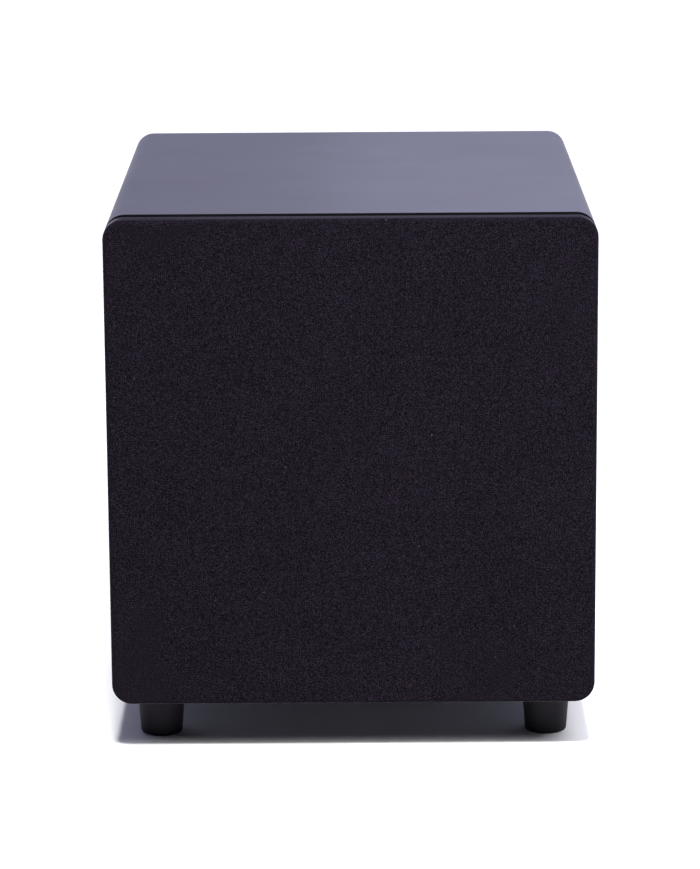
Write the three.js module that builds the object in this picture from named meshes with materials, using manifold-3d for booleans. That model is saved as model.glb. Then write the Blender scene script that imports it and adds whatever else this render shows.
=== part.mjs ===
// A powered 8 inch bass-reflex subwoofer, in millimetres: +X right, +Y back, +Z up, seen from the front.
// The origin is on the floor, in the middle of the whole object's footprint.
// Inside the cabinet group, Y starts at the shell's front edge and Z at the middle of the box's height.
import * as THREE from "three";
import { mergeVertices } from "three/addons/utils/BufferGeometryUtils.js";
import Module from "manifold-3d";

const wasm = await Module();
wasm.setup();

// ---- Driving dimensions -------------------------------------------------------------------------

const GAP = 0.3; // left between two pieces that touch
// Sides used to draw a circle.
const ROUND = { large: 32, medium: 20, socket: 12, small: 10, tiny: 6 };
const CABINET = { width: 300, height: 305, depth: 348, corner: 12.5, wall: 15 };
const BOARD_CORNER = 3; // the boards' corners follow the rounded inside of the wrap
const FOOT = { height: 31, topRadius: 15.3, baseRadius: 13, inset: 28.2, round: 1.6 };
const FOOT_RECESS = { radius: 6, depth: 22, screwHole: 2.4 };
const FOOT_SCREW = { headRadius: 5, headHeight: 3.3, crown: 1.4, radius: 2, grip: 10 };
const GRILLE = { thickness: 13, standOff: 5, border: 25, windowCorner: 60 };
const CLOTH = { thickness: 0.8, hem: 18, standOff: 4.5 };
const PEG = { x: 118, z: 121, radius: 3.6, length: 18, spigot: 7.5, collarRadius: 6.5, collar: 3 };
const PEG_SOCKET = { radius: 6, collarRadius: 8, collar: 0.8, end: 1.2 };
const BAFFLE = { front: 0.5, thickness: 18, rebateRadius: 105, rebateDepth: 4.5, holeRadius: 94 };
const REAR_PANEL = { front: 331, thickness: 15, cutWidth: 196, cutHeight: 157 };
const BRACE = { front: 128, thickness: 15, border: 24, windowCorner: 20 };
const PORT = { z: 90, radius: 29, mouthRadius: 35, flangeRadius: 43, wall: 2.5, front: 148, flare: 22 };
const WOOFER = { flangeRadius: 104, screwRadius: 98, surroundOuter: 84, surroundInner: 71, coilRadius: 19 };
const BASKET_WINDOW = { count: 6, inner: 40, outer: 100, spread: 43, front: 24, back: 54 };
const WOOFER_SCREW = { headRadius: 4, headHeight: 2.6, radius: 1.8, length: 17 };
const HEX_SOCKET = { radius: 1.5, depth: 2.4 };
const FORMER = { front: 40, back: 88, thickness: 0.5 };
const COIL = { front: 66, back: 86, thickness: 0.8 };
const SPIDER = { plane: 57.1, landing: 54, outer: 61, ridges: 6, ridge: 1.8, cloth: 0.6 };
const TERMINALS = { y: 38, z: -82.3, width: 26, height: 14, thickness: 1.6, tagX: 9 };
const AMP = { width: 216, height: 170, z: -43.5, thickness: 2.5, corner: 4 };
const KNOB = { radius: 10, length: 14, standOff: 1.6, z: 8, volumeX: -32, crossoverX: -76, shaftRadius: 3 };
const POT = { size: 17, back: 339, neckRadius: 4.6, shaftFront: 333 };
const SWITCH = { z: -30.5, phaseX: -32, standbyX: -76, travel: 4, width: 15, height: 9, back: 344 };
const LEVER = { width: 3.6, height: 3.8, front: 341, proud: 2.4 };
const JACKS = { z: -68.5, x: -67, pitch: 18, housingWidth: 36, housingHeight: 15, collarRadius: 5.2 };
const BARREL = { radius: 4.1, bore: 1.7, length: 9.5 };
const LED = { x: -54, z: 25, radius: 2.4 };
const CONTROL_BOARD = { front: 328, thickness: 1.6, left: -93, right: -9, low: -82, high: 29 };
const INLET = { x: 70, z: -104.5, width: 27.5, height: 29, depth: 24 };
const INLET_FLANGE = { width: 48, height: 33, thickness: 2.4 };
const COUPLER = { width: 23.4, height: 15.4, depth: 17, z: 5.5 };
const DRAWER = { width: 21.8, height: 6.4, depth: 18.5, proud: 1.2, z: -9.6, clearance: 0.4 };
const ROCKER = { x: 24, z: -104.5, width: 15.5, height: 21.5, depth: 17, flange: 2, pivot: 4, tilt: 8 };
const HEAT_SINK = { x: 56, z: -23.5, width: 88, height: 114, base: 4 };
const FIN = { count: 17, height: 12, thickness: 1.8, taper: 0.3 };
const TRANSFORMER = { x: 52, z: -25, radius: 38, bore: 12, thickness: 34, outerRound: 8, innerRound: 5 };
const POWER_BOARD = { x: 48, y: 290, width: 88, depth: 84, thickness: 1.6, below: 6 };

// ---- Derived places -----------------------------------------------------------------------------

const INNER_WIDTH = CABINET.width - 2 * CABINET.wall;
const INNER_HEIGHT = CABINET.height - 2 * CABINET.wall;
const PANEL_FACE = REAR_PANEL.front + REAR_PANEL.thickness; // the rear panel's outer face
const AMP_INSIDE = PANEL_FACE + GAP;
const AMP_FACE = AMP_INSIDE + AMP.thickness;
const REARMOST = AMP_FACE + GAP + HEAT_SINK.base + FIN.height;
const GRILLE_FRONT = -(GRILLE.standOff + GRILLE.thickness);
const FOOT_X = CABINET.width / 2 - FOOT.inset;
const FOOT_YS = { front: FOOT.inset, rear: CABINET.depth - FOOT.inset };
const FLANGE_FRONT = BAFFLE.front + 1.3;
const KNOB_XS = [KNOB.volumeX, KNOB.crossoverX];
const SWITCH_XS = [SWITCH.phaseX, SWITCH.standbyX];
const JACK_XS = [-JACKS.pitch / 2, JACKS.pitch / 2];
const CARRIER = { width: 6, height: 5, front: LEVER.front - 1.6, back: LEVER.front + 2 };
const LENS_FRONT = POT.back;
const CORNERS = [
  ["top_left", -1, 1],
  ["top_right", 1, 1],
  ["bottom_left", -1, -1],
  ["bottom_right", 1, -1],
];

// ---- Materials ----------------------------------------------------------------------------------

const finish = (color, roughness, metalness = 0) =>
  new THREE.MeshStandardMaterial({ color, roughness, metalness });
const vinyl = finish(0x1c1c22, 0.45);
const rawBoard = finish(0x8a6a48, 0.9);
const paintedBoard = finish(0x141416, 0.8);
const clothBlack = finish(0x1d191f, 1.0);
const plasticBlack = finish(0x161617, 0.55);
const rubberBlack = finish(0x1a191b, 0.8);
const basketPaint = finish(0x1b1b1d, 0.5, 0.6);
const zincSteel = finish(0xa8a8a4, 0.35, 1);
const blackSteel = finish(0x1a1a1c, 0.4, 0.9);
const ferrite = finish(0x2c2c2e, 0.7);
const conePulp = finish(0x17171a, 0.85);
const copper = finish(0xb06a3c, 0.35, 1);
const amberResin = finish(0xb98b4a, 0.8);
const panelPaint = finish(0x151517, 0.55, 0.3);
const sinkAnodised = finish(0x18181a, 0.45, 0.8);
const boardGreen = finish(0x1f5b33, 0.5);
const windingTape = finish(0xc9a227, 0.5);
const jackShell = finish(0xd8d8d8, 0.2, 1);
const ledLens = finish(0x3fae55, 0.15);
const wadding = finish(0xdedbd2, 1.0);
const leadJacket = finish(0x7a1f1f, 0.5);

// ---- Solids -------------------------------------------------------------------------------------

// A closed geometry as a manifold-3d solid.
function solid(geometry) {
  const bare = geometry.index ? geometry.toNonIndexed() : geometry.clone();
  for (const name of Object.keys(bare.attributes)) {
    if (name !== "position") bare.deleteAttribute(name);
  }
  const merged = mergeVertices(bare, 1e-4);
  return new wasm.Manifold(
    new wasm.Mesh({
      numProp: 3,
      vertProperties: merged.attributes.position.array,
      triVerts: new Uint32Array(merged.index.array),
    }),
  );
}

// A manifold-3d solid as a geometry.
function geometryOf(made) {
  const { numProp, numVert, vertProperties, triVerts } = made.getMesh();
  const position = new Float32Array(numVert * 3);
  for (let i = 0; i < numVert; i++) {
    position.set(vertProperties.subarray(i * numProp, i * numProp + 3), i * 3);
  }
  const geometry = new THREE.BufferGeometry();
  geometry.setAttribute("position", new THREE.BufferAttribute(position, 3));
  geometry.setIndex(new THREE.BufferAttribute(triVerts, 1));
  return geometry;
}

const cut = (from, ...tools) =>
  geometryOf(tools.reduce((left, tool) => left.subtract(solid(tool)), solid(from)));
const join = (first, ...others) =>
  geometryOf(others.reduce((whole, other) => whole.add(solid(other)), solid(first)));

// A box given by its centre across, its front and back, and its centre height.
const block = (width, height, front, back, x = 0, z = 0) =>
  new THREE.BoxGeometry(width, back - front, height).translate(x, (front + back) / 2, z);

function roundedRectangle(width, height, radius, x = 0, z = 0) {
  const right = x + width / 2 - radius;
  const left = x - width / 2 + radius;
  const top = z + height / 2 - radius;
  const bottom = z - height / 2 + radius;
  const shape = new THREE.Shape();
  shape.absarc(right, top, radius, 0, Math.PI / 2);
  shape.absarc(left, top, radius, Math.PI / 2, Math.PI);
  shape.absarc(left, bottom, radius, Math.PI, 1.5 * Math.PI);
  shape.absarc(right, bottom, radius, 1.5 * Math.PI, 2 * Math.PI);
  shape.closePath();
  return shape;
}

// A shape drawn in X and Z, made into a slab from front to back along Y.
function slab(shape, front, back, curveSegments = 2) {
  const made = new THREE.ExtrudeGeometry(shape, { depth: back - front, bevelEnabled: false, curveSegments });
  return made.rotateX(Math.PI / 2).translate(0, back, 0);
}

const panel = (width, height, radius, front, back, x = 0, z = 0) =>
  slab(roundedRectangle(width, height, radius, x, z), front, back);

// A profile of [radius, y] corners turned about the Y axis. One that starts on the axis also ends on it,
// and any other closes on itself.
function turned(corners, segments = ROUND.medium) {
  const outline = corners[0][0] === 0 ? corners : [...corners, corners[0]];
  const points = outline.map(([radius, y]) => new THREE.Vector2(radius, y));
  if (THREE.ShapeUtils.isClockWise(points)) points.reverse();
  return new THREE.LatheGeometry(points, segments);
}

const disc = (radius, front, back, x = 0, z = 0, segments = ROUND.small) =>
  new THREE.CylinderGeometry(radius, radius, back - front, segments).translate(x, (front + back) / 2, z);

// An upright cylinder between two heights.
const post = (radius, low, high, x = 0, y = 0, segments = ROUND.small) =>
  new THREE.CylinderGeometry(radius, radius, high - low, segments)
    .rotateX(Math.PI / 2)
    .translate(x, y, (low + high) / 2);

// [x, y] points of an arc, from one angle to another in degrees.
function arcPoints(x, y, radius, from, to, steps) {
  return Array.from({ length: steps + 1 }, (_, i) => {
    const angle = THREE.MathUtils.degToRad(from + ((to - from) * i) / steps);
    return [x + radius * Math.cos(angle), y + radius * Math.sin(angle)];
  });
}

// A round or flat-sided tube of the given section along a smooth curve through points.
function tube(points, section, steps) {
  const path = new THREE.CatmullRomCurve3(points.map((p) => new THREE.Vector3(...p)));
  return new THREE.ExtrudeGeometry(section, { steps, extrudePath: path, curveSegments: 1 });
}

function add(group, name, geometry, material, x = 0, y = 0, z = 0) {
  const mesh = new THREE.Mesh(geometry, material);
  mesh.name = name;
  mesh.position.set(x, y, z);
  group.add(mesh);
  return mesh;
}

// ---- Groups -------------------------------------------------------------------------------------

const subwoofer = new THREE.Group();
const cabinet = new THREE.Group();
cabinet.position.set(0, -(GRILLE_FRONT + REARMOST) / 2, FOOT.height + CABINET.height / 2);
subwoofer.add(cabinet);

// ---- Cabinet ------------------------------------------------------------------------------------

function addCabinetBoards() {
  const { width, height, depth, corner } = CABINET;
  const bore = panel(INNER_WIDTH, INNER_HEIGHT, BOARD_CORNER, -1, depth + 1);
  const bottom = -height / 2;
  const pilot = FOOT_SCREW.radius + GAP;
  const footScrewHoles = [-1, 1].flatMap((side) =>
    Object.values(FOOT_YS).map((y) =>
      post(pilot, bottom - 1, bottom + FOOT_SCREW.grip + 1, side * FOOT_X, y, ROUND.tiny),
    ),
  );
  add(cabinet, "cabinet_shell", cut(panel(width, height, corner, 0, depth), bore, ...footScrewHoles), vinyl);

  const boardWidth = INNER_WIDTH - 2 * GAP;
  const boardHeight = INNER_HEIGHT - 2 * GAP;
  const baffleBack = BAFFLE.front + BAFFLE.thickness;
  const socketHoles = CORNERS.map(([, sx, sz]) =>
    disc(PEG_SOCKET.radius + GAP, BAFFLE.front - 1, baffleBack + 1, sx * PEG.x, sz * PEG.z),
  );
  const pilotHoles = wooferScrewPlaces().map(([x, z]) =>
    disc(WOOFER_SCREW.radius + 0.7, BAFFLE.front, baffleBack + 1, x, z, ROUND.tiny),
  );
  const baffle = cut(
    panel(boardWidth, boardHeight, BOARD_CORNER, BAFFLE.front, baffleBack),
    disc(BAFFLE.rebateRadius, BAFFLE.front - 1, BAFFLE.front + BAFFLE.rebateDepth, 0, 0, ROUND.large),
    disc(BAFFLE.holeRadius, BAFFLE.front - 1, baffleBack + 1, 0, 0, ROUND.large),
    ...socketHoles,
    ...pilotHoles,
  );
  add(cabinet, "front_baffle", baffle, paintedBoard);

  const portHole = PORT.mouthRadius + PORT.wall + 0.8;
  const rear = cut(
    panel(boardWidth, boardHeight, BOARD_CORNER, REAR_PANEL.front, PANEL_FACE),
    block(REAR_PANEL.cutWidth, REAR_PANEL.cutHeight, REAR_PANEL.front - 1, PANEL_FACE + 1, 0, AMP.z),
    disc(portHole, REAR_PANEL.front - 1, PANEL_FACE + 1, 0, PORT.z, ROUND.medium),
  );
  add(cabinet, "rear_panel", rear, paintedBoard);

  const braceBack = BRACE.front + BRACE.thickness;
  const window = panel(
    boardWidth - 2 * BRACE.border,
    boardHeight - 2 * BRACE.border,
    BRACE.windowCorner,
    BRACE.front - 1,
    braceBack + 1,
  );
  const brace = panel(boardWidth, boardHeight, BOARD_CORNER, BRACE.front, braceBack);
  add(cabinet, "window_brace", cut(brace, window), rawBoard);
}

// A flared tube: a flange and mouth outside, a long straight bore, and a second flare inside.
function addPort() {
  const { radius, mouthRadius, flangeRadius, wall, front, flare } = PORT;
  const back = AMP_FACE;
  const swell = mouthRadius - radius;
  const flareCurve = (end, direction, extra) =>
    Array.from({ length: 4 }, (_, i) => {
      const along = i / 3;
      const widened = swell * (1 - Math.sqrt(1 - along ** 2));
      return [radius + extra + widened, end - direction * flare * (1 - along)];
    });
  const inside = [...flareCurve(front, -1, 0).reverse(), ...flareCurve(back, 1, 0)];
  const outside = [
    [flangeRadius, back],
    [flangeRadius, PANEL_FACE + GAP],
    [mouthRadius + wall, PANEL_FACE + GAP],
    ...flareCurve(PANEL_FACE, 1, wall).reverse().slice(1),
    ...flareCurve(front, -1, wall),
  ];
  add(cabinet, "port_tube", turned([...inside, ...outside]), plasticBlack, 0, 0, PORT.z);
}

// Polyester wadding laid along both side walls and under the top.
function addWadding() {
  const clearance = 1.2;
  const side = INNER_WIDTH / 2 - clearance;
  const top = INNER_HEIGHT / 2 - clearance;
  const low = -60;
  const thick = 14;
  const over = 9;
  const outline = new THREE.Shape(
    [
      [-side, low],
      [-side, top],
      [side, top],
      [side, low],
      [side - thick, low],
      [side - thick, top - over],
      [thick - side, top - over],
      [thick - side, low],
    ].map(([x, z]) => new THREE.Vector2(x, z)),
  );
  const front = BRACE.front + BRACE.thickness + 20;
  const back = REAR_PANEL.front - 8;
  add(cabinet, "damping_wadding", slab(outline, front, back), wadding);
}

// The profiles' second numbers are heights over the floor.
function addFeet() {
  const { topRadius, baseRadius, height, round } = FOOT;
  const slope = (topRadius - baseRadius) / height;
  const chamfer = round * (1 - Math.SQRT1_2);
  const profile = [
    [FOOT_RECESS.screwHole, height - GAP],
    [topRadius, height - GAP],
    [baseRadius + slope * round, round],
    [baseRadius - chamfer, chamfer],
    [baseRadius - round, 0],
    [FOOT_RECESS.radius, 0],
    [FOOT_RECESS.radius, FOOT_RECESS.depth],
    [FOOT_RECESS.screwHole, FOOT_RECESS.depth],
  ];
  const { headRadius, headHeight, crown, radius, grip } = FOOT_SCREW;
  const seat = FOOT_RECESS.depth - GAP;
  const screw = [
    [0, seat - headHeight],
    [headRadius - crown, seat - headHeight],
    [headRadius, seat - headHeight + crown],
    [headRadius, seat],
    [radius, seat],
    [radius, height + grip - radius],
    [0, height + grip],
  ];
  const floor = -(FOOT.height + CABINET.height / 2);
  for (const [end, y] of Object.entries(FOOT_YS)) {
    for (const [side, sign] of [["left", -1], ["right", 1]]) {
      const foot = turned(profile, ROUND.medium).rotateX(Math.PI / 2);
      add(cabinet, `foot_${end}_${side}`, foot, rubberBlack, sign * FOOT_X, y, floor);
      const fastener = turned(screw, ROUND.tiny).rotateX(Math.PI / 2);
      add(cabinet, `foot_screw_${end}_${side}`, fastener, zincSteel, sign * FOOT_X, y, floor);
    }
  }
}

// ---- Grille -------------------------------------------------------------------------------------

function addGrille() {
  const { width, height, corner } = CABINET;
  const { border, windowCorner } = GRILLE;
  const { thickness: cloth, hem } = CLOTH;
  const back = -CLOTH.standOff;
  const hemFront = back - cloth;
  const inset = 2 * (cloth + GAP);

  const frameFront = GRILLE_FRONT + cloth + GAP;
  const frameBack = hemFront - GAP;
  const window = panel(
    width - 2 * border,
    height - 2 * border,
    windowCorner,
    frameFront - 1,
    frameBack + 1,
  );
  const spigotHoles = CORNERS.map(([, sx, sz]) =>
    disc(PEG.radius + GAP, frameBack - PEG.spigot - 0.5, frameBack + 1, sx * PEG.x, sz * PEG.z),
  );
  const frame = panel(width - inset, height - inset, corner - inset / 2, frameFront, frameBack);
  add(cabinet, "grille_frame", cut(frame, window, ...spigotHoles), paintedBoard);

  const pan = cut(
    panel(width, height, corner, GRILLE_FRONT, back),
    panel(width - 2 * cloth, height - 2 * cloth, corner - cloth, GRILLE_FRONT + cloth, hemFront),
    panel(width - 2 * hem, height - 2 * hem, BOARD_CORNER + 1, hemFront - 1, back + 1),
  );
  add(cabinet, "grille_cloth", pan, clothBlack);

  const collarFront = frameBack + GAP;
  const collarBack = collarFront + PEG.collar;
  const pegEnd = frameBack + PEG.length;
  const tip = 1.3;
  const peg = turned(
    [
      [0, frameBack - PEG.spigot],
      [PEG.radius, frameBack - PEG.spigot],
      [PEG.radius, collarFront],
      [PEG.collarRadius, collarFront],
      [PEG.collarRadius, collarBack],
      [PEG.radius, collarBack],
      [PEG.radius, pegEnd - tip],
      [PEG.radius - tip, pegEnd],
      [0, pegEnd],
    ],
    ROUND.small,
  );
  const bore = PEG.radius + GAP;
  const socketEnd = BAFFLE.front + BAFFLE.thickness - 1.5;
  const lip = BAFFLE.front - GAP;
  const socket = turned(
    [
      [0, socketEnd - PEG_SOCKET.end],
      [bore, socketEnd - PEG_SOCKET.end],
      [bore, lip - PEG_SOCKET.collar],
      [PEG_SOCKET.collarRadius, lip - PEG_SOCKET.collar],
      [PEG_SOCKET.collarRadius, lip],
      [PEG_SOCKET.radius, lip],
      [PEG_SOCKET.radius, socketEnd],
      [0, socketEnd],
    ],
    ROUND.small,
  );
  for (const [place, sx, sz] of CORNERS) {
    add(cabinet, `grille_peg_${place}`, peg.clone(), plasticBlack, sx * PEG.x, 0, sz * PEG.z);
    add(cabinet, `peg_socket_${place}`, socket.clone(), rubberBlack, sx * PEG.x, 0, sz * PEG.z);
  }
}

// ---- Woofer -------------------------------------------------------------------------------------

function wooferScrewPlaces() {
  const reach = WOOFER.screwRadius * Math.SQRT1_2;
  return CORNERS.map(([, sx, sz]) => [sx * reach, sz * reach]);
}

// A wedge of the ring between two radii, as a cutting tool along Y.
function wedge(inner, outer, angle, spread, front, back) {
  const from = THREE.MathUtils.degToRad(angle - spread / 2);
  const to = THREE.MathUtils.degToRad(angle + spread / 2);
  const shape = new THREE.Shape();
  shape.absarc(0, 0, outer, from, to);
  shape.absarc(0, 0, inner, to, from, true);
  shape.closePath();
  return slab(shape, front, back, 3);
}

function addBasket() {
  const profile = [
    [WOOFER.flangeRadius, FLANGE_FRONT],
    [WOOFER.flangeRadius, FLANGE_FRONT + 2.8],
    [92.8, FLANGE_FRONT + 2.8],
    [90.5, 22],
    [66.5, 58],
    [66.5, 61.5],
    [57.5, 70.5],
    [57.5, 71.7],
    [27, 71.7],
    [27, 69.5],
    [54.5, 69.5],
    [54.5, 60.5],
    [55, 58],
    [63, 58],
    [87.6, 21],
    [87.6, FLANGE_FRONT + 2.6],
    [86, FLANGE_FRONT],
  ];
  const { count, inner, outer, spread, front, back } = BASKET_WINDOW;
  const windows = Array.from({ length: count }, (_, i) =>
    wedge(inner, outer, (i * 360) / count, spread, front, back),
  );
  const holes = wooferScrewPlaces().map(([x, z]) =>
    disc(2.4, FLANGE_FRONT - 1, FLANGE_FRONT + 4, x, z, ROUND.tiny),
  );
  add(cabinet, "woofer_basket", cut(turned(profile, ROUND.large), ...windows, ...holes), basketPaint);
}

function addWooferScrews() {
  const { headRadius, headHeight, radius, length } = WOOFER_SCREW;
  const seat = FLANGE_FRONT - GAP;
  const face = seat - headHeight;
  const screw = turned(
    [
      [0, face],
      [headRadius - 1.4, face + 0.4],
      [headRadius, seat - 0.8],
      [headRadius, seat],
      [radius, seat],
      [radius, seat + length - radius],
      [0, seat + length],
    ],
    ROUND.small,
  );
  const socket = new THREE.CylinderGeometry(HEX_SOCKET.radius, HEX_SOCKET.radius, HEX_SOCKET.depth, 6);
  socket.translate(0, face + 0.2, 0);
  const places = wooferScrewPlaces();
  CORNERS.forEach(([place], i) => {
    const [x, z] = places[i];
    add(cabinet, `woofer_screw_${place}`, cut(screw, socket), blackSteel, x, 0, z);
  });
}

// The half-roll rubber edge has a flat landing outside and inside, and a trim ring covers the outer one.
function addSurround() {
  const { surroundOuter, surroundInner } = WOOFER;
  const front = FLANGE_FRONT - 1.1;
  const thick = 0.8;
  const middle = (surroundOuter + surroundInner) / 2;
  const roll = (surroundOuter - surroundInner) / 2;
  const profile = [
    [92, front + thick],
    [92, front],
    ...arcPoints(middle, front, roll, 0, -180, 6),
    [66.5, front],
    [66.5, front + thick],
    ...arcPoints(middle, front + thick, roll - thick, -180, 0, 6),
  ];
  add(cabinet, "surround", turned(profile, ROUND.large), rubberBlack);
  const trim = [
    [surroundOuter + 0.5, front - GAP],
    [surroundOuter + 0.5, front - 1.6],
    [surroundOuter + 1.6, front - 2.6],
    [91.4, front - 2.6],
    [92.5, front - 1.6],
    [92.5, front - GAP],
  ];
  add(cabinet, "trim_ring", turned(trim, ROUND.large), rubberBlack);
}

function addMovingParts() {
  const { coilRadius } = WOOFER;
  const neck = coilRadius + FORMER.thickness + GAP;
  const thick = 1.1;
  const frontFace = [
    [71, 1.8],
    [66, 1.8],
    [56, 9.5],
    [44, 20],
    [32, 31.5],
    [neck + 2, 41.5],
    [neck, 43.5],
    [neck, 47],
  ];
  const backFace = [
    [neck + thick, 47],
    [neck + thick, 44.2],
    [neck + 3, 42.4],
    [33, 32.4],
    [45, 20.9],
    [57, 10.4],
    [66.4, 2.9],
    [71, 2.9],
  ];
  add(cabinet, "cone", turned([...frontFace, ...backFace], ROUND.large), conePulp);

  // A shallow spherical cap over the voice coil.
  const capRadius = 44.5;
  const capCentre = 20 + capRadius;
  const outer = arcPoints(0, capCentre, capRadius, -90, -47.5, 4);
  const inner = arcPoints(0, capCentre, capRadius - 0.9, -90, -47.5, 4).reverse();
  outer[0][0] = 0;
  inner[inner.length - 1][0] = 0;
  add(cabinet, "dust_cap", turned([...outer, ...inner]), conePulp);

  const pipe = (inside, { front, back, thickness }) => [
    [inside, front],
    [inside + thickness, front],
    [inside + thickness, back],
    [inside, back],
  ];
  add(cabinet, "coil_former", turned(pipe(coilRadius, FORMER)), copper);
  add(cabinet, "voice_coil", turned(pipe(neck, COIL)), copper);

  // A corrugated disc that centres the coil: ridges between the former and the basket's landing.
  const { plane, landing, outer: edge, ridges, ridge, cloth } = SPIDER;
  const collar = neck + 3;
  const ridgeLine = Array.from({ length: ridges }, (_, i) => [
    collar + ((landing - collar) * (i + 0.5)) / ridges,
    i % 2 ? ridge : -ridge,
  ]);
  const centreline = [[neck, 0], [collar, 0], ...ridgeLine, [landing, 0], [edge, 0]];
  const back = centreline.map(([radius, y]) => [radius, y + cloth]).reverse();
  add(cabinet, "spider", turned([...centreline, ...back]), amberResin, 0, plane, 0);
}

function addMotor() {
  const { coilRadius } = WOOFER;
  const gapOuter = coilRadius + 2.2;
  const pole = coilRadius - 0.6;
  const vent = 6;
  const topPlate = [
    [gapOuter, 72],
    [54, 72],
    [55, 73],
    [55, 80],
    [gapOuter, 80],
  ];
  add(cabinet, "top_plate", turned(topPlate), zincSteel);
  const magnetRing = [
    [30, 80 + GAP],
    [58.5, 80 + GAP],
    [60, 82],
    [60, 98.5],
    [58.5, 100],
    [30, 100],
  ];
  add(cabinet, "magnet", turned(magnetRing), ferrite);
  const yoke = [
    [vent, 71],
    [pole - 1, 71],
    [pole, 72],
    [pole, 100 + GAP],
    [55, 100 + GAP],
    [55, 107],
    [54, 108],
    [vent + 3, 108],
    [vent, 104],
  ];
  add(cabinet, "pole_yoke", turned(yoke), zincSteel);
}

// The terminal board rides on the outside of the lowest spoke, and two braided leads run from it to the cone.
function addTerminals() {
  const slope = Math.atan2(66.5 - 90.5, 58 - 22);
  const { y, z, width, height, thickness, tagX } = TERMINALS;
  const board = join(
    new THREE.BoxGeometry(width, height, thickness),
    ...[-tagX, tagX].map((x) => new THREE.BoxGeometry(5, 9, 0.8).translate(x, 9, -0.6)),
    ...[-tagX, tagX].map((x) => new THREE.BoxGeometry(4, 4, 2.4).translate(x, -3, -1.4)),
  );
  const strip = add(cabinet, "terminal_strip", board, amberResin, 0, y, z);
  strip.rotation.x = -slope;
  const braid = roundedRectangle(1.6, 1.6, 0.6);
  for (const [side, sign] of [["left", -1], ["right", 1]]) {
    const route = [
      [sign * 14.4, 36.5, -82.6],
      [sign * 14.8, 37.6, -78],
      [sign * 13, 43.5, -66],
      [sign * 9.5, 47, -50],
      [sign * 6.5, 43.6, -36],
      [sign * 5.5, 38.2, -29.4],
    ];
    add(cabinet, `tinsel_lead_${side}`, tube(route, braid, 8), copper);
  }
}

// A flat twin lead from the woofer's terminals, through the brace's window, to the amplifier board.
function addSpeakerLead() {
  const twin = roundedRectangle(2.6, 5.2, 1.25);
  const route = [
    [0, 51, -78.5],
    [0, 60, -84],
    [2, 80, -98],
    [4, 105, -106],
    [6, 135, -106],
    [8, 165, -112],
    [12, 195, -118],
    [20, 225, -112],
    [28, 248, -92],
    [31, 258.5, -76],
  ];
  add(cabinet, "speaker_lead", tube(route, twin, 18), leadJacket);
}

// ---- Amplifier module ---------------------------------------------------------------------------

function addAmpPanel() {
  const through = [AMP_INSIDE - 1, AMP_FACE + 1];
  const slotWidth = LEVER.width + SWITCH.travel + 1.4;
  const slotHeight = LEVER.height + 0.8;
  const holes = [
    ...KNOB_XS.map((x) => disc(KNOB.shaftRadius + 1, ...through, x, KNOB.z)),
    ...SWITCH_XS.map((x) => block(slotWidth, slotHeight, ...through, x, SWITCH.z)),
    ...JACK_XS.map((x) => disc(JACKS.collarRadius + 0.6, ...through, JACKS.x + x, JACKS.z)),
    disc(LED.radius + GAP, ...through, LED.x, LED.z),
    block(INLET.width + 2 * GAP, INLET.height + 2 * GAP, ...through, INLET.x, INLET.z),
    block(ROCKER.width - 2, ROCKER.height - 2, ...through, ROCKER.x, ROCKER.z),
  ];
  const plate = panel(AMP.width, AMP.height, AMP.corner, AMP_INSIDE, AMP_FACE, 0, AMP.z);
  add(cabinet, "amp_panel", cut(plate, ...holes), panelPaint);
}

// An extruded section: a base plate with upright fins.
function addHeatSink() {
  const { x, z, width, height, base } = HEAT_SINK;
  const pitch = (width - FIN.thickness) / (FIN.count - 1);
  const section = new THREE.Shape();
  section.moveTo(-width / 2, 0);
  for (let i = 0; i < FIN.count; i++) {
    const left = -width / 2 + i * pitch;
    const right = left + FIN.thickness;
    if (i > 0) section.lineTo(left, base);
    section.lineTo(left + FIN.taper, base + FIN.height);
    section.lineTo(right - FIN.taper, base + FIN.height);
    if (i < FIN.count - 1) section.lineTo(right, base);
  }
  section.lineTo(width / 2, 0);
  section.closePath();
  const made = new THREE.ExtrudeGeometry(section, { depth: height, bevelEnabled: false });
  add(cabinet, "heat_sink", made, sinkAnodised, x, AMP_FACE + GAP, z - height / 2);
}

// The control board carries two potentiometers, two slide-switch housings and the lamp's legs, soldered on.
function addControlBoard() {
  const { front, thickness, left, right, low, high } = CONTROL_BOARD;
  const middleX = (left + right) / 2;
  const middleZ = (low + high) / 2;
  const board = block(right - left, high - low, front, front + thickness, middleX, middleZ);
  const pots = KNOB_XS.flatMap((x) => [
    block(POT.size, POT.size, front + 1, POT.back, x, KNOB.z),
    disc(POT.neckRadius, POT.back - 1, AMP_INSIDE - GAP, x, KNOB.z),
  ]);
  const housings = SWITCH_XS.map((x) =>
    block(SWITCH.width, SWITCH.height, front + 1, SWITCH.back, x, SWITCH.z),
  );
  const lampLegs = block(4, 4, front + 1, LENS_FRONT - 1, LED.x, LED.z);
  const bores = KNOB_XS.map((x) =>
    disc(KNOB.shaftRadius + GAP, POT.shaftFront - 1, AMP_INSIDE + 1, x, KNOB.z),
  );
  const channelWidth = CARRIER.width + SWITCH.travel + 0.6;
  const channelHeight = CARRIER.height + 0.6;
  const channels = SWITCH_XS.map((x) =>
    block(channelWidth, channelHeight, CARRIER.front - 0.4, AMP_INSIDE, x, SWITCH.z),
  );
  const whole = join(board, ...pots, ...housings, lampLegs);
  add(cabinet, "control_board", cut(whole, ...bores, ...channels), boardGreen);
}

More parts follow.
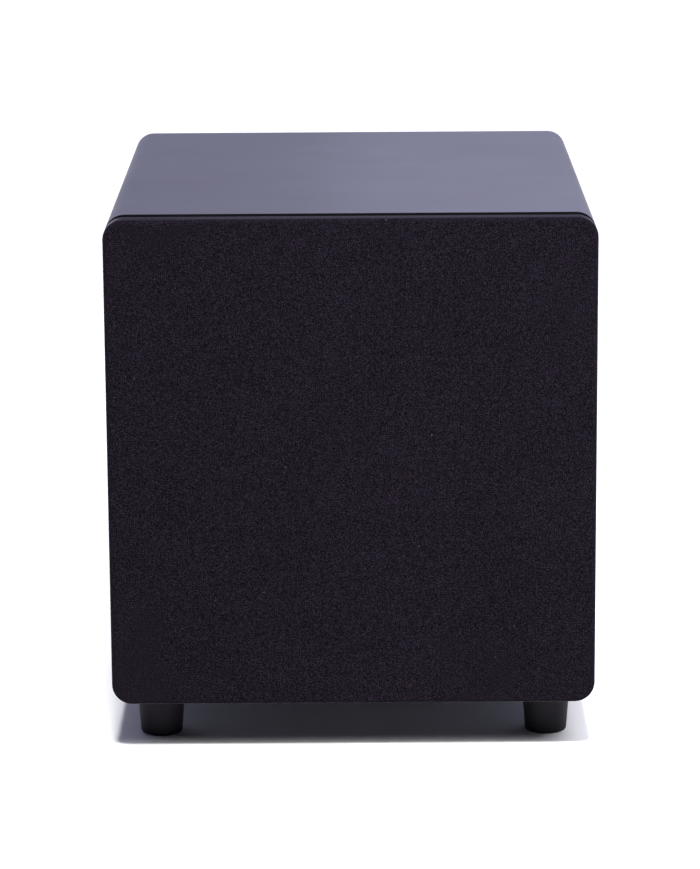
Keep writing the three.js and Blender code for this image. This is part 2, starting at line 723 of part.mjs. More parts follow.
function addKnobs() {
  const { radius, length, shaftRadius } = KNOB;
  const back = AMP_FACE + KNOB.standOff;
  const end = back + length;
  const boreEnd = back + 9;
  const profile = [
    [0, end],
    [radius - 2, end],
    [radius - 1, end - 1],
    [radius - 0.6, back + 3.2],
    [radius + 1, back + 2.4],
    [radius + 1, back],
    [0, back],
  ];
  const pointer = block(1.4, 8, end - 0.8, end + 1, 0, radius - 4);
  const bore = disc(shaftRadius + GAP, back - 1, boreEnd);
  const flat = block(8, 2, back, boreEnd + 3, 0, shaftRadius + 0.4);
  for (const [name, x] of [["volume", KNOB.volumeX], ["crossover", KNOB.crossoverX]]) {
    add(cabinet, `${name}_knob`, cut(turned(profile), pointer, bore), plasticBlack, x, 0, KNOB.z);
    const shaft = cut(disc(shaftRadius, POT.shaftFront, boreEnd - 0.5), flat);
    add(cabinet, `${name}_shaft`, shaft, zincSteel, x, 0, KNOB.z);
  }
}

// Each slider rests at the end of its slot nearer -X and slides towards +X.
function addSliders() {
  for (const [name, x] of [["phase", SWITCH.phaseX], ["standby", SWITCH.standbyX]]) {
    const lever = join(
      block(LEVER.width, LEVER.height, LEVER.front, AMP_FACE + LEVER.proud),
      block(CARRIER.width, CARRIER.height, CARRIER.front, CARRIER.back),
    );
    add(cabinet, `${name}_slider`, lever, plasticBlack, x - SWITCH.travel / 2, 0, SWITCH.z);
  }
}

function addLamp() {
  const flange = 2;
  const lens = [
    [0, LENS_FRONT],
    [LED.radius + 0.6, LENS_FRONT],
    [LED.radius + 0.6, LENS_FRONT + flange],
    [LED.radius, LENS_FRONT + flange],
    [LED.radius, AMP_FACE],
    [LED.radius * 0.7, AMP_FACE + 1.3],
    [0, AMP_FACE + 1.8],
  ];
  add(cabinet, "status_led", turned(lens, ROUND.small), ledLens, LED.x, 0, LED.z);
}

// Two coaxial line-input sockets on one moulded block.
function addLineJacks() {
  const { housingWidth, housingHeight, collarRadius } = JACKS;
  const boardFace = CONTROL_BOARD.front + CONTROL_BOARD.thickness + GAP;
  const collarFace = AMP_FACE + 1.2;
  const housing = block(housingWidth, housingHeight, boardFace, AMP_INSIDE - GAP);
  const barrelEnd = AMP_FACE + BARREL.length;
  const collars = JACK_XS.map((x) => disc(collarRadius, AMP_INSIDE - 1, collarFace, x, 0, ROUND.socket));
  const barrels = JACK_XS.map((x) => disc(BARREL.radius, AMP_FACE, barrelEnd, x, 0, ROUND.socket));
  const bores = JACK_XS.map((x) => disc(BARREL.bore, AMP_FACE + 1, barrelEnd + 1, x, 0, ROUND.tiny));
  const jacks = cut(join(housing, ...collars, ...barrels), ...bores);
  add(cabinet, "line_jacks", jacks, jackShell, JACKS.x, 0, JACKS.z);
}

// The mains inlet: a three-pin appliance socket above the slot of its fuse drawer.
function addInlet() {
  const { x, z, width, height, depth } = INLET;
  const face = AMP_FACE + GAP + INLET_FLANGE.thickness;
  const flange = panel(INLET_FLANGE.width, INLET_FLANGE.height, AMP.corner, AMP_FACE + GAP, face);
  const body = block(width, height, face - depth, AMP_FACE + 1);
  const cavity = panel(COUPLER.width, COUPLER.height, 2.5, face - COUPLER.depth, face + 1, 0, COUPLER.z);
  const slotWidth = DRAWER.width + 2 * DRAWER.clearance;
  const slotHeight = DRAWER.height + 2 * DRAWER.clearance;
  const drawerSlot = block(slotWidth, slotHeight, face - DRAWER.depth - 1.5, face + 1, 0, DRAWER.z);
  const pins = [
    [-7, 3.6],
    [0, 6.6],
    [7, 3.6],
  ].map(([px, pz]) => block(2, 4, face - depth - 4, face - 5.2, px, pz));
  const hollow = cut(join(flange, body), cavity, drawerSlot);
  add(cabinet, "power_inlet", join(hollow, ...pins), plasticBlack, x, 0, z);

  const drawerFace = face + DRAWER.proud;
  const drawer = join(
    block(DRAWER.width, DRAWER.height, face - DRAWER.depth, drawerFace, 0, DRAWER.z),
    block(6, 1.8, drawerFace - 0.8, drawerFace + 1.4, 0, DRAWER.z),
  );
  const fuseSeat = block(18, 4.4, face - 17, face - 4, 0, DRAWER.z + 2);
  add(cabinet, "fuse_drawer", cut(drawer, fuseSeat), plasticBlack, x, 0, z);
}

// The mains switch: a bezel, and a rocker that rests tipped one way and swings to the other.
function addRocker() {
  const { x, z, width, height, depth, tilt } = ROCKER;
  const face = AMP_FACE + GAP + ROCKER.flange;
  const wall = 1.4;
  const wellHeight = height - 4.4;
  const bezel = cut(
    join(
      panel(width, height, 1.5, AMP_FACE + GAP, face),
      block(width - 2 * wall, height - 2 * wall, face - depth, AMP_FACE + 1),
    ),
    block(width - 4.6, wellHeight, face - depth + 4, face + 1),
  );
  add(cabinet, "rocker_bezel", bezel, plasticBlack, x, 0, z);
  const half = wellHeight / 2 - 0.9;
  const side = new THREE.Shape(
    [
      [-half + 1.2, -3.5],
      [half - 1.2, -3.5],
      [half, 4.6],
      [0, 3],
      [-half, 4.6],
    ].map(([across, out]) => new THREE.Vector2(across, out)),
  );
  const wide = width - 5.6;
  const rocker = new THREE.ExtrudeGeometry(side, { depth: wide, bevelEnabled: false });
  // The section's first axis turns to Z and its second to Y.
  rocker.translate(0, 0, -wide / 2).rotateY(-Math.PI / 2);
  const swing = add(cabinet, "power_rocker", rocker, plasticBlack, x, face - ROCKER.pivot, z);
  swing.rotation.x = THREE.MathUtils.degToRad(-tilt);
}

// A toroidal transformer against the panel, and the power board with its tall parts under it.
function addPowerParts() {
  const { x, z, radius, bore, thickness, outerRound, innerRound } = TRANSFORMER;
  const back = AMP_INSIDE - 0.8;
  const front = back - thickness;
  const outer = radius - outerRound;
  const inner = bore + innerRound;
  const ring = [
    ...arcPoints(outer, front + outerRound, outerRound, -90, 0, 3),
    ...arcPoints(outer, back - outerRound, outerRound, 0, 90, 3),
    ...arcPoints(inner, back - innerRound, innerRound, 90, 180, 2),
    ...arcPoints(inner, front + innerRound, innerRound, 180, 270, 2),
  ];
  add(cabinet, "power_transformer", turned(ring), windingTape, x, 0, z);

  const boardZ = z - radius - POWER_BOARD.below;
  const plate = new THREE.BoxGeometry(POWER_BOARD.width, POWER_BOARD.depth, POWER_BOARD.thickness);
  plate.translate(POWER_BOARD.x, POWER_BOARD.y, boardZ);
  // Capacitors as [radius, height, x, y], and block-shaped parts as [width, depth, height, x, y].
  const capacitors = [
    [11, 30, 22, 276],
    [11, 30, 48, 276],
    [6, 18, 72, 270],
  ].map(([canRadius, tall, px, py]) => post(canRadius, boardZ, boardZ + tall, px, py));
  const blocks = [
    [20, 16, 16, 76, 288],
    [30, 3, 24, 20, 300],
    [12, 9, 10, 48, 300],
  ].map(([width, depth, tall, px, py]) =>
    new THREE.BoxGeometry(width, depth, tall).translate(px, py, boardZ + tall / 2),
  );
  add(cabinet, "power_board", join(plate, ...capacitors, ...blocks), boardGreen);
}

addCabinetBoards();
addPort();
addWadding();
addFeet();
addGrille();
addBasket();
addWooferScrews();
addSurround();
addMovingParts();
addMotor();
addTerminals();
addSpeakerLead();
addAmpPanel();
addHeatSink();
addControlBoard();
addKnobs();
addSliders();
addLamp();
addLineJacks();
addInlet();
addRocker();
addPowerParts();

export default subwoofer;
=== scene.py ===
"""A powered subwoofer: a rounded box in black vinyl, a stretched cloth grille, and what is behind it.

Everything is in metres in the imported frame: +X to the right, the grille faces -Y, +Z up, the floor at Z = 0.
Places and sizes come from the CAD nodes. Functions that take millimetres say so.
"""

import math
from types import SimpleNamespace

import bmesh
import bpy
import numpy as np
from mathutils import Matrix, Vector, noise


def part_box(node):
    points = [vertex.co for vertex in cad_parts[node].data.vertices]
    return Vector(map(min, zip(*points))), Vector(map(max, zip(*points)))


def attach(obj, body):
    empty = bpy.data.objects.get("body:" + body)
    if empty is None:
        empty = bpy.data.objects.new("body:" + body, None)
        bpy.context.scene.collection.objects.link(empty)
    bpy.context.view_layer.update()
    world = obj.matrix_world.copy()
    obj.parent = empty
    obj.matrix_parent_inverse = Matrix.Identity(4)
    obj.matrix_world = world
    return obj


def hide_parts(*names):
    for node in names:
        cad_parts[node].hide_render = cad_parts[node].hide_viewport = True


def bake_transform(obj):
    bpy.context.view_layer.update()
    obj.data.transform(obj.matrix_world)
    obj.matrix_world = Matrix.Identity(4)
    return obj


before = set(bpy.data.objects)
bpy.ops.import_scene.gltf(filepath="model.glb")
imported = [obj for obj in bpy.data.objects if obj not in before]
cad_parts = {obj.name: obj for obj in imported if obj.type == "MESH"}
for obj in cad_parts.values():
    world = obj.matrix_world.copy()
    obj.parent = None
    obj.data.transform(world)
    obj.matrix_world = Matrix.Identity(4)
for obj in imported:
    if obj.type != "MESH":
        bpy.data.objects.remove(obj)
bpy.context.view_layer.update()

MM = 0.001
RING_STEPS = 128  # sides of a large turned piece
SMALL_RING_STEPS = 48
CORNER_STEPS = 10  # sides of a rounded corner
SHARP_ANGLE = math.radians(32)
LEAST_ANGLE = math.radians(20)  # the smallest bend in a path that is rounded off
ON_AXIS = 1e-7  # a turned profile's point nearer the axis than this is on it
WELD = 0.002 * MM
QUARTER_TURN = Matrix.Rotation(math.pi / 2, 4, "X")
HALF_TURN = Matrix.Rotation(math.pi, 4, "X")

SHELL_LOW, SHELL_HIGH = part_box("cabinet_shell")
FRONT = SHELL_LOW.y  # the front edge of the cabinet
MIDDLE = (SHELL_LOW.z + SHELL_HIGH.z) / 2  # the height of the woofer's axis
BOX_CORNER = 12.5 * MM  # radius of the box's long edges, seen from the front
BOARD_CORNER = 3 * MM
PLACES = ("top_left", "top_right", "bottom_left", "bottom_right")


# ---- Shapes -------------------------------------------------------------------------------------


def size_of(node):
    """Where a CAD node is and how large it is."""
    low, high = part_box(node)
    width, depth, height = high - low
    return SimpleNamespace(
        low=low,
        high=high,
        centre=(low + high) / 2,
        front=low.y,
        back=high.y,
        width=width,
        depth=depth,
        height=height,
        radius=height / 2,
    )


def centre_of(node):
    return size_of(node).centre


def rounded(points, radius, closed=False, steps=3):
    """A 2-D path with each real corner rounded off by up to radius."""
    path = [Vector(point) for point in points]
    smooth = []
    for i, corner in enumerate(path):
        before, after = path[i - 1], path[(i + 1) % len(path)]
        is_end = not closed and i in (0, len(path) - 1)
        if is_end or (corner - before).angle(after - corner, 0) < LEAST_ANGLE:
            smooth.append(tuple(corner))
            continue
        reach = min(radius, 0.45 * (before - corner).length, 0.45 * (after - corner).length)
        start = corner + (before - corner).normalized() * reach
        end = corner + (after - corner).normalized() * reach
        for k in range(steps + 1):
            t = k / steps
            smooth.append(tuple(start * (1 - t) ** 2 + corner * 2 * t * (1 - t) + end * t**2))
    return smooth


def arc(x, y, radius, first, last, steps):
    """Points of an arc between two angles in degrees."""
    angles = [math.radians(first + (last - first) * k / steps) for k in range(steps + 1)]
    return [(x + radius * math.cos(a), y + radius * math.sin(a)) for a in angles]


def circle(radius, x=0.0, z=0.0, steps=SMALL_RING_STEPS):
    return arc(x, z, radius, 0, 360 * (steps - 1) / steps, steps - 1)


def rectangle(width, height, radius, x=0.0, z=0.0, side_steps=1):
    """Points round a rounded rectangle, anticlockwise from its right side."""
    corners = []
    for quarter, (side, up) in enumerate(((1, 1), (-1, 1), (-1, -1), (1, -1))):
        centre_x = x + side * (width / 2 - radius)
        centre_z = z + up * (height / 2 - radius)
        corners.append(arc(centre_x, centre_z, radius, 90 * quarter, 90 * quarter + 90, CORNER_STEPS))
    points = []
    for corner, following in zip(corners, corners[1:] + corners[:1]):
        points += corner
        start, end = Vector(corner[-1]), Vector(following[0])
        points += [tuple(start.lerp(end, k / side_steps)) for k in range(1, side_steps)]
    return points


def outward(shape):
    bmesh.ops.recalc_face_normals(shape, faces=shape.faces)
    return shape


def turn(profile, steps=RING_STEPS, ripple=None):
    """Turns (radius, y) points about the Y axis. A profile off the axis closes on itself.
    ripple(radius, y, angle) may change the radius round the ring."""
    shape = bmesh.new()
    angles = [math.tau * k / steps for k in range(steps)]
    rings = []
    for radius, y in profile:
        if radius < ON_AXIS:
            rings.append([shape.verts.new((0, y, 0))])
            continue
        reach = [ripple(radius, y, a) if ripple else radius for a in angles]
        rings.append([shape.verts.new((r * math.sin(a), y, r * math.cos(a))) for r, a in zip(reach, angles)])
    following = rings[1:] + (rings[:1] if profile[0][0] > ON_AXIS else [])
    for pair in zip(rings, following):
        for i in range(steps):
            j = (i + 1) % steps
            first, second = pair
            corners = [ring[k % len(ring)] for ring, k in ((first, i), (first, j), (second, j), (second, i))]
            corners = list(dict.fromkeys(corners))
            if len(corners) > 2:
                shape.faces.new(corners)
    return outward(shape)


def joined_rows(shape, loops, ring=False):
    """Adds loops of (x, y, z) points to a shape, joined by faces, and returns the rows of its vertices."""
    rows = [[shape.verts.new(point) for point in loop] for loop in loops]
    for first, second in zip(rows, rows[1:] + (rows[:1] if ring else [])):
        for i in range(len(first)):
            j = (i + 1) % len(first)
            shape.faces.new((first[i], first[j], second[j], second[i]))
    return rows


def loft(loops, ring=False):
    """Joins loops of points, each with as many as the first. A ring joins its last to its first."""
    shape = bmesh.new()
    rows = joined_rows(shape, loops, ring)
    if not ring:
        shape.faces.new(rows[0])
        shape.faces.new(rows[-1])
    return outward(shape)


def frame_loops(section, width, height, radius_at):
    """Loops of a picture frame about the woofer's axis, from its section as (inset, y) points."""
    loops = []
    for inset, y in section:
        outline = rectangle(width - 2 * inset, height - 2 * inset, radius_at(inset), z=MIDDLE)
        loops.append([(x, y, z) for x, z in outline])
    return loops


def slab(outer, front, back, edge=0.4 * MM, holes=()):
    """A plate between two depths, with rounded edges, from an outline and holes in X and Z."""
    curve = bpy.data.curves.new("slab", "CURVE")
    curve.dimensions = "2D"
    curve.fill_mode = "BOTH"
    curve.extrude = (back - front) / 2 - edge
    curve.bevel_depth = edge
    curve.bevel_resolution = 2
    curve.offset = -edge
    for loop in (outer, *holes):
        spline = curve.splines.new("POLY")
        spline.points.add(len(loop) - 1)
        spline.use_cyclic_u = True
        for point, (x, z) in zip(spline.points, loop):
            point.co = (x, z, 0, 1)
    return from_curve(curve, Matrix.Translation((0, (front + back) / 2, 0)) @ QUARTER_TURN)


def from_curve(curve, matrix=None):
    """A curve's mesh, welded, as a bmesh. The curve is used up."""
    holder = bpy.data.objects.new(curve.name, curve)
    bpy.context.scene.collection.objects.link(holder)
    bpy.context.view_layer.update()
    mesh = bpy.data.meshes.new_from_object(holder.evaluated_get(bpy.context.evaluated_depsgraph_get()))
    shape = bmesh.new()
    shape.from_mesh(mesh)
    bpy.data.objects.remove(holder)
    bpy.data.curves.remove(curve)
    bpy.data.meshes.remove(mesh)
    bmesh.ops.remove_doubles(shape, verts=shape.verts, dist=WELD)
    if matrix:
        shape.transform(matrix)
    return outward(shape)


def block(low, high, edge=0.4 * MM, steps=2):
    """A box between two corners, with rounded edges."""
    low, high = Vector(low), Vector(high)
    size = high - low
    shape = bmesh.new()
    bmesh.ops.create_cube(shape, size=1.0)
    shape.transform(Matrix.Translation((low + high) / 2) @ Matrix.Diagonal((*size, 1)))
    edge = min(edge, 0.45 * min(size))
    bmesh.ops.bevel(shape, geom=shape.edges[:], offset=edge, segments=steps, profile=0.5, affect="EDGES")
    return outward(shape)


def ranged(origin, xs, ys, zs, edge=0.4):
    """A box with rounded edges, from its ranges in millimetres from a point."""
    low, high = (Vector(corner) * MM + Vector(origin) for corner in zip(xs, ys, zs))
    return block(low, high, edge * MM)


def bar(centre, size, edge=0.4):
    """A box with rounded edges about a point. Its size and edge are millimetres."""
    half = Vector(size) * MM / 2
    return block(centre - half, centre + half, edge * MM)


def hose(points, radius, steps=6, sides=4):
    """A round tube along a smooth line through points."""
    curve = bpy.data.curves.new("hose", "CURVE")
    curve.dimensions = "3D"
    curve.bevel_depth = radius
    curve.bevel_resolution = sides
    curve.use_fill_caps = True
    curve.resolution_u = steps
    spline = curve.splines.new("BEZIER")
    spline.bezier_points.add(len(points) - 1)
    for bezier, point in zip(spline.bezier_points, points):
        bezier.co = point
        bezier.handle_left_type = bezier.handle_right_type = "AUTO"
    return from_curve(curve)


def together(*shapes):
    """Several shapes as one mesh of separate parts."""
    whole = bmesh.new()
    for shape in shapes:
        mesh = bpy.data.meshes.new("part")
        shape.to_mesh(mesh)
        shape.free()
        whole.from_mesh(mesh)
        bpy.data.meshes.remove(mesh)
    return whole


def placed(shape, *matrices):
    """A shape after a product of matrices: the last one acts first."""
    for matrix in reversed(matrices):
        shape.transform(matrix)
    return shape


def moved(shape, x=0.0, y=0.0, z=0.0):
    return placed(shape, Matrix.Translation((x, y, z)))


def upright(shape):
    """A shape made about the Y axis, stood up: what was at the back is at the top."""
    return placed(shape, QUARTER_TURN)


def as_object(name, shape, look=None):
    mesh = bpy.data.meshes.new(name)
    shape.to_mesh(mesh)
    shape.free()
    if look:
        mesh.materials.append(look)
    piece = bpy.data.objects.new(name, mesh)
    bpy.context.scene.collection.objects.link(piece)
    return piece


def apply(piece, kind, **settings):
    """Adds a modifier to a piece and bakes it into the mesh."""
    modifier = piece.modifiers.new(kind, kind)
    for key, value in settings.items():
        setattr(modifier, key, value)
    bpy.context.view_layer.update()
    evaluated = piece.evaluated_get(bpy.context.evaluated_depsgraph_get())
    mesh = bpy.data.meshes.new_from_object(evaluated)
    piece.modifiers.clear()
    piece.data = mesh


def combined(shape, others, operation):
    """A shape after joining others to it (UNION) or cutting them out of it (DIFFERENCE)."""
    piece = as_object("whole", shape)
    for other in others:
        tool = as_object("tool", other)
        apply(piece, "BOOLEAN", object=tool, operation=operation, solver="EXACT")
        bpy.data.objects.remove(tool)
    result = bmesh.new()
    result.from_mesh(piece.data)
    bpy.data.objects.remove(piece)
    return result


def carved(shape, *cutters):
    return combined(shape, cutters, "DIFFERENCE")


def merged(shape, *others):
    return combined(shape, others, "UNION")


def at(x, y, z):
    """A point given in millimetres from the middle of the cabinet's front edge."""
    return Vector((x * MM, FRONT + y * MM, MIDDLE + z * MM))


WOOFER_AXIS = at(0, 0, 0)


def spun(profile, origin=WOOFER_AXIS, edge=0.3, steps=RING_STEPS, ripple=None):
    """Turns (radius, depth) corners about a line along Y through origin, in millimetres. Depth runs back."""
    corners = [(radius * MM, depth * MM) for radius, depth in profile]
    smooth = rounded(corners, edge * MM, closed=profile[0][0] > 0)
    return moved(turn(smooth, steps, ripple), *origin)


def finish_shading(piece):
    """Gives a piece smooth normals that keep its flat faces flat and its corners sharp."""
    piece.data.polygons.foreach_set("use_smooth", [True] * len(piece.data.polygons))
    piece.data.set_sharp_from_angle(angle=SHARP_ANGLE)
    apply(piece, "WEIGHTED_NORMAL", mode="FACE_AREA", keep_sharp=True)


def put(name, shape, look, node=None, body="cabinet"):
    """A finished piece in the scene. It rides on a body, and may stand for a CAD node."""
    piece = as_object(name, shape, look)
    finish_shading(piece)
    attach(piece, body)
    if node:
        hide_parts(node)
    return piece


# ---- Materials ----------------------------------------------------------------------------------


class Look:
    """A procedural material under construction. Textures use object coordinates, in metres."""

    def __init__(self, name, colour, roughness, metallic=0.0, **sockets):
        self.material = bpy.data.materials.new(name)
        self.material.use_nodes = True
        self.nodes = self.material.node_tree.nodes
        self.links = self.material.node_tree.links
        self.shader = self.nodes["Principled BSDF"]
        self.place = self.nodes.new("ShaderNodeTexCoord").outputs["Object"]
        self.set("Base Color", (*colour, 1))
        self.set("Roughness", roughness)
        self.set("Metallic", metallic)
        for socket, value in sockets.items():
            self.set(socket.replace("_", " ").title().replace("Ior", "IOR"), value)

    def set(self, socket, value):
        self.shader.inputs[socket].default_value = value

    def node(self, kind, inputs, **settings):
        made = self.nodes.new(kind)
        for key, value in settings.items():
            setattr(made, key, value)
        for socket, value in inputs.items():
            if isinstance(value, bpy.types.NodeSocket):
                self.links.new(value, made.inputs[socket])
            else:
                made.inputs[socket].default_value = value
        return made

    def stretched(self, stretch):
        return self.node("ShaderNodeMapping", {"Vector": self.place, "Scale": stretch}).outputs[0]

    def noise(self, scale, stretch=(1, 1, 1), detail=2.0, roughness=0.5):
        inputs = {"Vector": self.stretched(stretch), "Scale": scale, "Detail": detail}
        return self.node("ShaderNodeTexNoise", {**inputs, "Roughness": roughness}).outputs[0]

    def cells(self, scale, stretch=(1, 1, 1), feature="F1"):
        inputs = {"Vector": self.stretched(stretch), "Scale": scale}
        return self.node("ShaderNodeTexVoronoi", inputs, feature=feature).outputs["Distance"]

    def threads(self, pitch, direction, wobble=0.0):
        """Parallel ridges, pitch metres apart, across a direction: X, Y or Z, or rings about Y."""
        kind = {"bands_direction": direction} if direction != "RINGS" else {"rings_direction": "Y"}
        wave_scale = 0.314 / pitch  # Blender's wave repeats every 0.314 units at scale 1
        inputs = {"Vector": self.place, "Scale": wave_scale, "Distortion": wobble, "Detail": 1.0}
        wave_type = "RINGS" if direction == "RINGS" else "BANDS"
        return self.node("ShaderNodeTexWave", inputs, wave_type=wave_type, **kind).outputs["Fac"]

    def weave(self, pitch, wobble):
        return self.math("MULTIPLY", self.threads(pitch, "X", wobble), self.threads(pitch, "Z", wobble))

    def math(self, operation, first, second):
        return self.node("ShaderNodeMath", {0: first, 1: second}, operation=operation).outputs[0]

    def between(self, factor, low, high, start=0.0, end=1.0):
        """A number that goes from low to high as the factor goes from start to end."""
        inputs = {"Value": factor, "From Min": start, "From Max": end, "To Min": low, "To Max": high}
        return self.node("ShaderNodeMapRange", inputs).outputs["Result"]

    def colours(self, factor, low, high, start=0.3, end=0.7, beyond=None):
        """Drives the base colour from low at start to high at end of the factor, and to beyond at 1."""
        ramp = self.node("ShaderNodeValToRGB", {"Fac": factor})
        for stop, position, colour in zip(ramp.color_ramp.elements, (start, end), (low, high)):
            stop.position = position
            stop.color = (*colour, 1)
        if beyond:
            ramp.color_ramp.elements.new(1.0).color = (*beyond, 1)
        return self.drive("Base Color", ramp.outputs["Color"])

    def drive(self, socket, value):
        self.links.new(value, self.shader.inputs[socket])
        return self

    def bump(self, height, distance, strength=1.0):
        """Raises the surface by up to distance millimetres. A second call adds to the first."""
        inputs = {"Height": height, "Distance": distance * MM, "Strength": strength}
        normal = self.shader.inputs["Normal"]
        if normal.is_linked:
            inputs["Normal"] = normal.links[0].from_socket
        return self.drive("Normal", self.node("ShaderNodeBump", inputs).outputs["Normal"])


def grey(value):
    return (value, value, value)


def black_vinyl():
    """Black vinyl wrap with a faint ash grain that runs round the box, over very fine leather-like pores."""
    look = Look("black_vinyl", (0.012, 0.012, 0.016), 0.36, specular_ior_level=0.5)
    grain = look.noise(160, stretch=(0.06, 1, 0.06), detail=4, roughness=0.6)
    pores = look.noise(1300)
    cloud = look.noise(9, detail=4)
    shade = look.math("ADD", look.math("MULTIPLY", grain, cloud), look.between(pores, -0.4, 0.4))
    look.colours(shade, (0.006, 0.006, 0.009), (0.022, 0.021, 0.028), 0.12, 0.42)
    roughness = look.math("ADD", look.between(grain, 0.34, 0.4), look.between(cloud, -0.08, 0.08))
    look.drive("Roughness", roughness)
    return look.bump(grain, 0.018, 0.5).bump(pores, 0.035, 0.5).material


def grille_fabric():
    """A fine knitted polyester: near-black threads, pale flecks that catch the light, and some lint."""
    look = Look("grille_fabric", (0.0095, 0.0072, 0.0122), 0.95, sheen_weight=0.36, sheen_roughness=0.25)
    look.set("Specular IOR Level", 0.06)
    look.set("Sheen Tint", (0.88, 0.8, 0.94, 1))
    knit = look.weave(1.15 * MM, 0.5)
    fleck = look.noise(2300, detail=1)
    patch = look.noise(16, detail=4)
    shade = look.math("ADD", fleck, look.between(knit, -0.03, 0.05))
    shade = look.math("ADD", shade, look.between(patch, -0.02, 0.02))
    lint = look.between(look.cells(170), 0.6, 0.0, 0.0, 0.09)
    linty = look.between(look.noise(60), 0.0, 1.0, 0.55, 0.65)
    shade = look.math("ADD", shade, look.math("MULTIPLY", lint, linty))
    look.colours(shade, (0.0008, 0.0005, 0.001), (0.0275, 0.0204, 0.0361), 0.45, 0.8, (0.2, 0.19, 0.21))
    return look.bump(knit, 0.15, 0.6).bump(fleck, 0.12, 0.5).material


def moulded(name, colour, roughness=0.4, pits=1800, gloss=0.5):
    """Moulded plastic or rubber with a fine spark-eroded texture and slight wear in its gloss."""
    look = Look(name, colour, roughness, specular_ior_level=gloss)
    texture = look.noise(pits)
    smears = look.noise(45, detail=4)
    look.colours(smears, tuple(c * 0.75 for c in colour), tuple(min(1, c * 1.3) for c in colour))
    look.drive("Roughness", look.between(smears, roughness - 0.06, roughness + 0.08, 0.3, 0.7))
    return look.bump(texture, 0.02, 0.5).material


def patterned(name, colour, roughness, pattern, ends, span=(0.3, 0.7), gloss=None, relief=None, **sockets):
    """A look whose colour goes between two ends with one pattern, which gloss and relief may follow.
    gloss is the arguments of between, and relief is a bump's distance in millimetres and its strength."""
    look = Look(name, colour, roughness, **sockets)
    value = pattern(look)
    look.colours(value, *ends, *span)
    if gloss:
        look.drive("Roughness", look.between(value, *gloss))
    if relief:
        look.bump(value, *relief)
    return look


def noisy(name, colour, roughness, scale, ends, detail=2, stretch=(1, 1, 1), coarse=0.5, **more):
    """A material that follows one noise."""

    def pattern(look):
        return look.noise(scale, stretch, detail, coarse)

    return patterned(name, colour, roughness, pattern, ends, **more).material


def powder_coat():
    """Powder-coated steel: matt black with a fine orange-peel wrinkle."""
    ends = (grey(0.01), grey(0.02))
    look = patterned("powder_coat", grey(0.014), 0.5, lambda look: look.noise(60, detail=3), ends)
    wrinkle = look.cells(1300, feature="SMOOTH_F1")
    return look.drive("Roughness", look.between(wrinkle, 0.42, 0.6)).bump(wrinkle, 0.04, 0.5).material


def paper_cone():
    """Pressed paper pulp, dyed black, with short fibres and a faint ring where it was pressed."""
    ends = (grey(0.01), grey(0.035))
    settings = {"gloss": (0.62, 0.85), "relief": (0.06, 0.5)}

    def fibres(look):
        return look.noise(700, (1, 2, 1), 5, 0.7)

    look = patterned("paper_cone", grey(0.02), 0.75, fibres, ends, **settings)
    return look.bump(look.threads(4.5 * MM, "RINGS", 0.4), 0.04, 0.25).material


def turned_steel():
    """Zinc-plated steel with fine turning rings and a slight yellow bloom."""
    ends = ((0.52, 0.5, 0.44), (0.66, 0.66, 0.65))
    settings = {"gloss": (0.26, 0.42, 0.3, 0.7), "metallic": 1.0}

    def streaks(look):
        return look.noise(40, detail=3)

    look = patterned("turned_steel", (0.62, 0.61, 0.58), 0.32, streaks, ends, **settings)
    return look.bump(look.threads(0.5 * MM, "RINGS"), 0.01, 0.4).material


def plated(name, colour):
    """Plated contact metal with a soft smear in its polish."""
    ends = (tuple(c * 0.85 for c in colour), colour)
    return noisy(name, colour, 0.18, 300, ends, 3, gloss=(0.12, 0.3, 0.3, 0.7), metallic=1.0)


VINYL = black_vinyl()
FABRIC = grille_fabric()
POWDER_COAT = powder_coat()
CONE_PAPER = paper_cone()
STEEL = turned_steel()
NICKEL = plated("nickel", (0.75, 0.74, 0.72))
BRASS = plated("brass_plate", (0.75, 0.55, 0.25))
ALUMINIUM = plated("former_aluminium", (0.8, 0.8, 0.78))
FOOT_RUBBER = moulded("foot_rubber", (0.0085, 0.0068, 0.0105), 0.62, pits=1100, gloss=0.15)
BLACK_RUBBER = moulded("black_rubber", grey(0.014), 0.6)
BLACK_PLASTIC = moulded("black_plastic", grey(0.014), 0.45)
KNOB_PLASTIC = moulded("knob_plastic", grey(0.012), 0.5, pits=2400)
WHITE_PLASTIC = moulded("white_plastic", (0.6, 0.6, 0.57))
RED_PLASTIC = moulded("red_plastic", (0.45, 0.02, 0.02))
LEAD_RED = moulded("lead_red", (0.33, 0.02, 0.02))
LEAD_BLACK = moulded("lead_black", grey(0.015))

# Fibreboard sprayed matt black: the fibres still show as a fine fuzz.
ends = (grey(0.007), grey(0.02))
PAINTED_BOARD = noisy(
    "painted_board", grey(0.012), 0.85, 900, ends, 3, relief=(0.06, 0.4), specular_ior_level=0.25
)
# Painted shade for the joint between the box and the grille: a near-black with almost no reflection on the
# box's front edge, so that the joint stays dark.
ends = ((0.002, 0.002, 0.0026), (0.004, 0.0038, 0.005))
colour = (0.003, 0.003, 0.004)
JOINT_SHADE_BLACK = noisy("joint_shade_black", colour, 1.0, 700, ends, 3, relief=(0.04, 0.4), specular_ior_level=0.03)
# Cut fibreboard: brown with dark and pale specks.
ends = ((0.16, 0.095, 0.05), (0.42, 0.29, 0.17))
RAW_BOARD = noisy("raw_board", (0.3, 0.2, 0.11), 0.9, 1400, ends, 4, coarse=0.7, relief=(0.08, 0.5))
# Blackened screw steel, worn brighter in patches.
ends, worn = (grey(0.02), grey(0.07)), (0.45, 0.75)
BLACK_STEEL = noisy(
    "black_steel", grey(0.03), 0.38, 420, ends, 4, span=worn, gloss=(0.3, 0.5), metallic=0.85
)
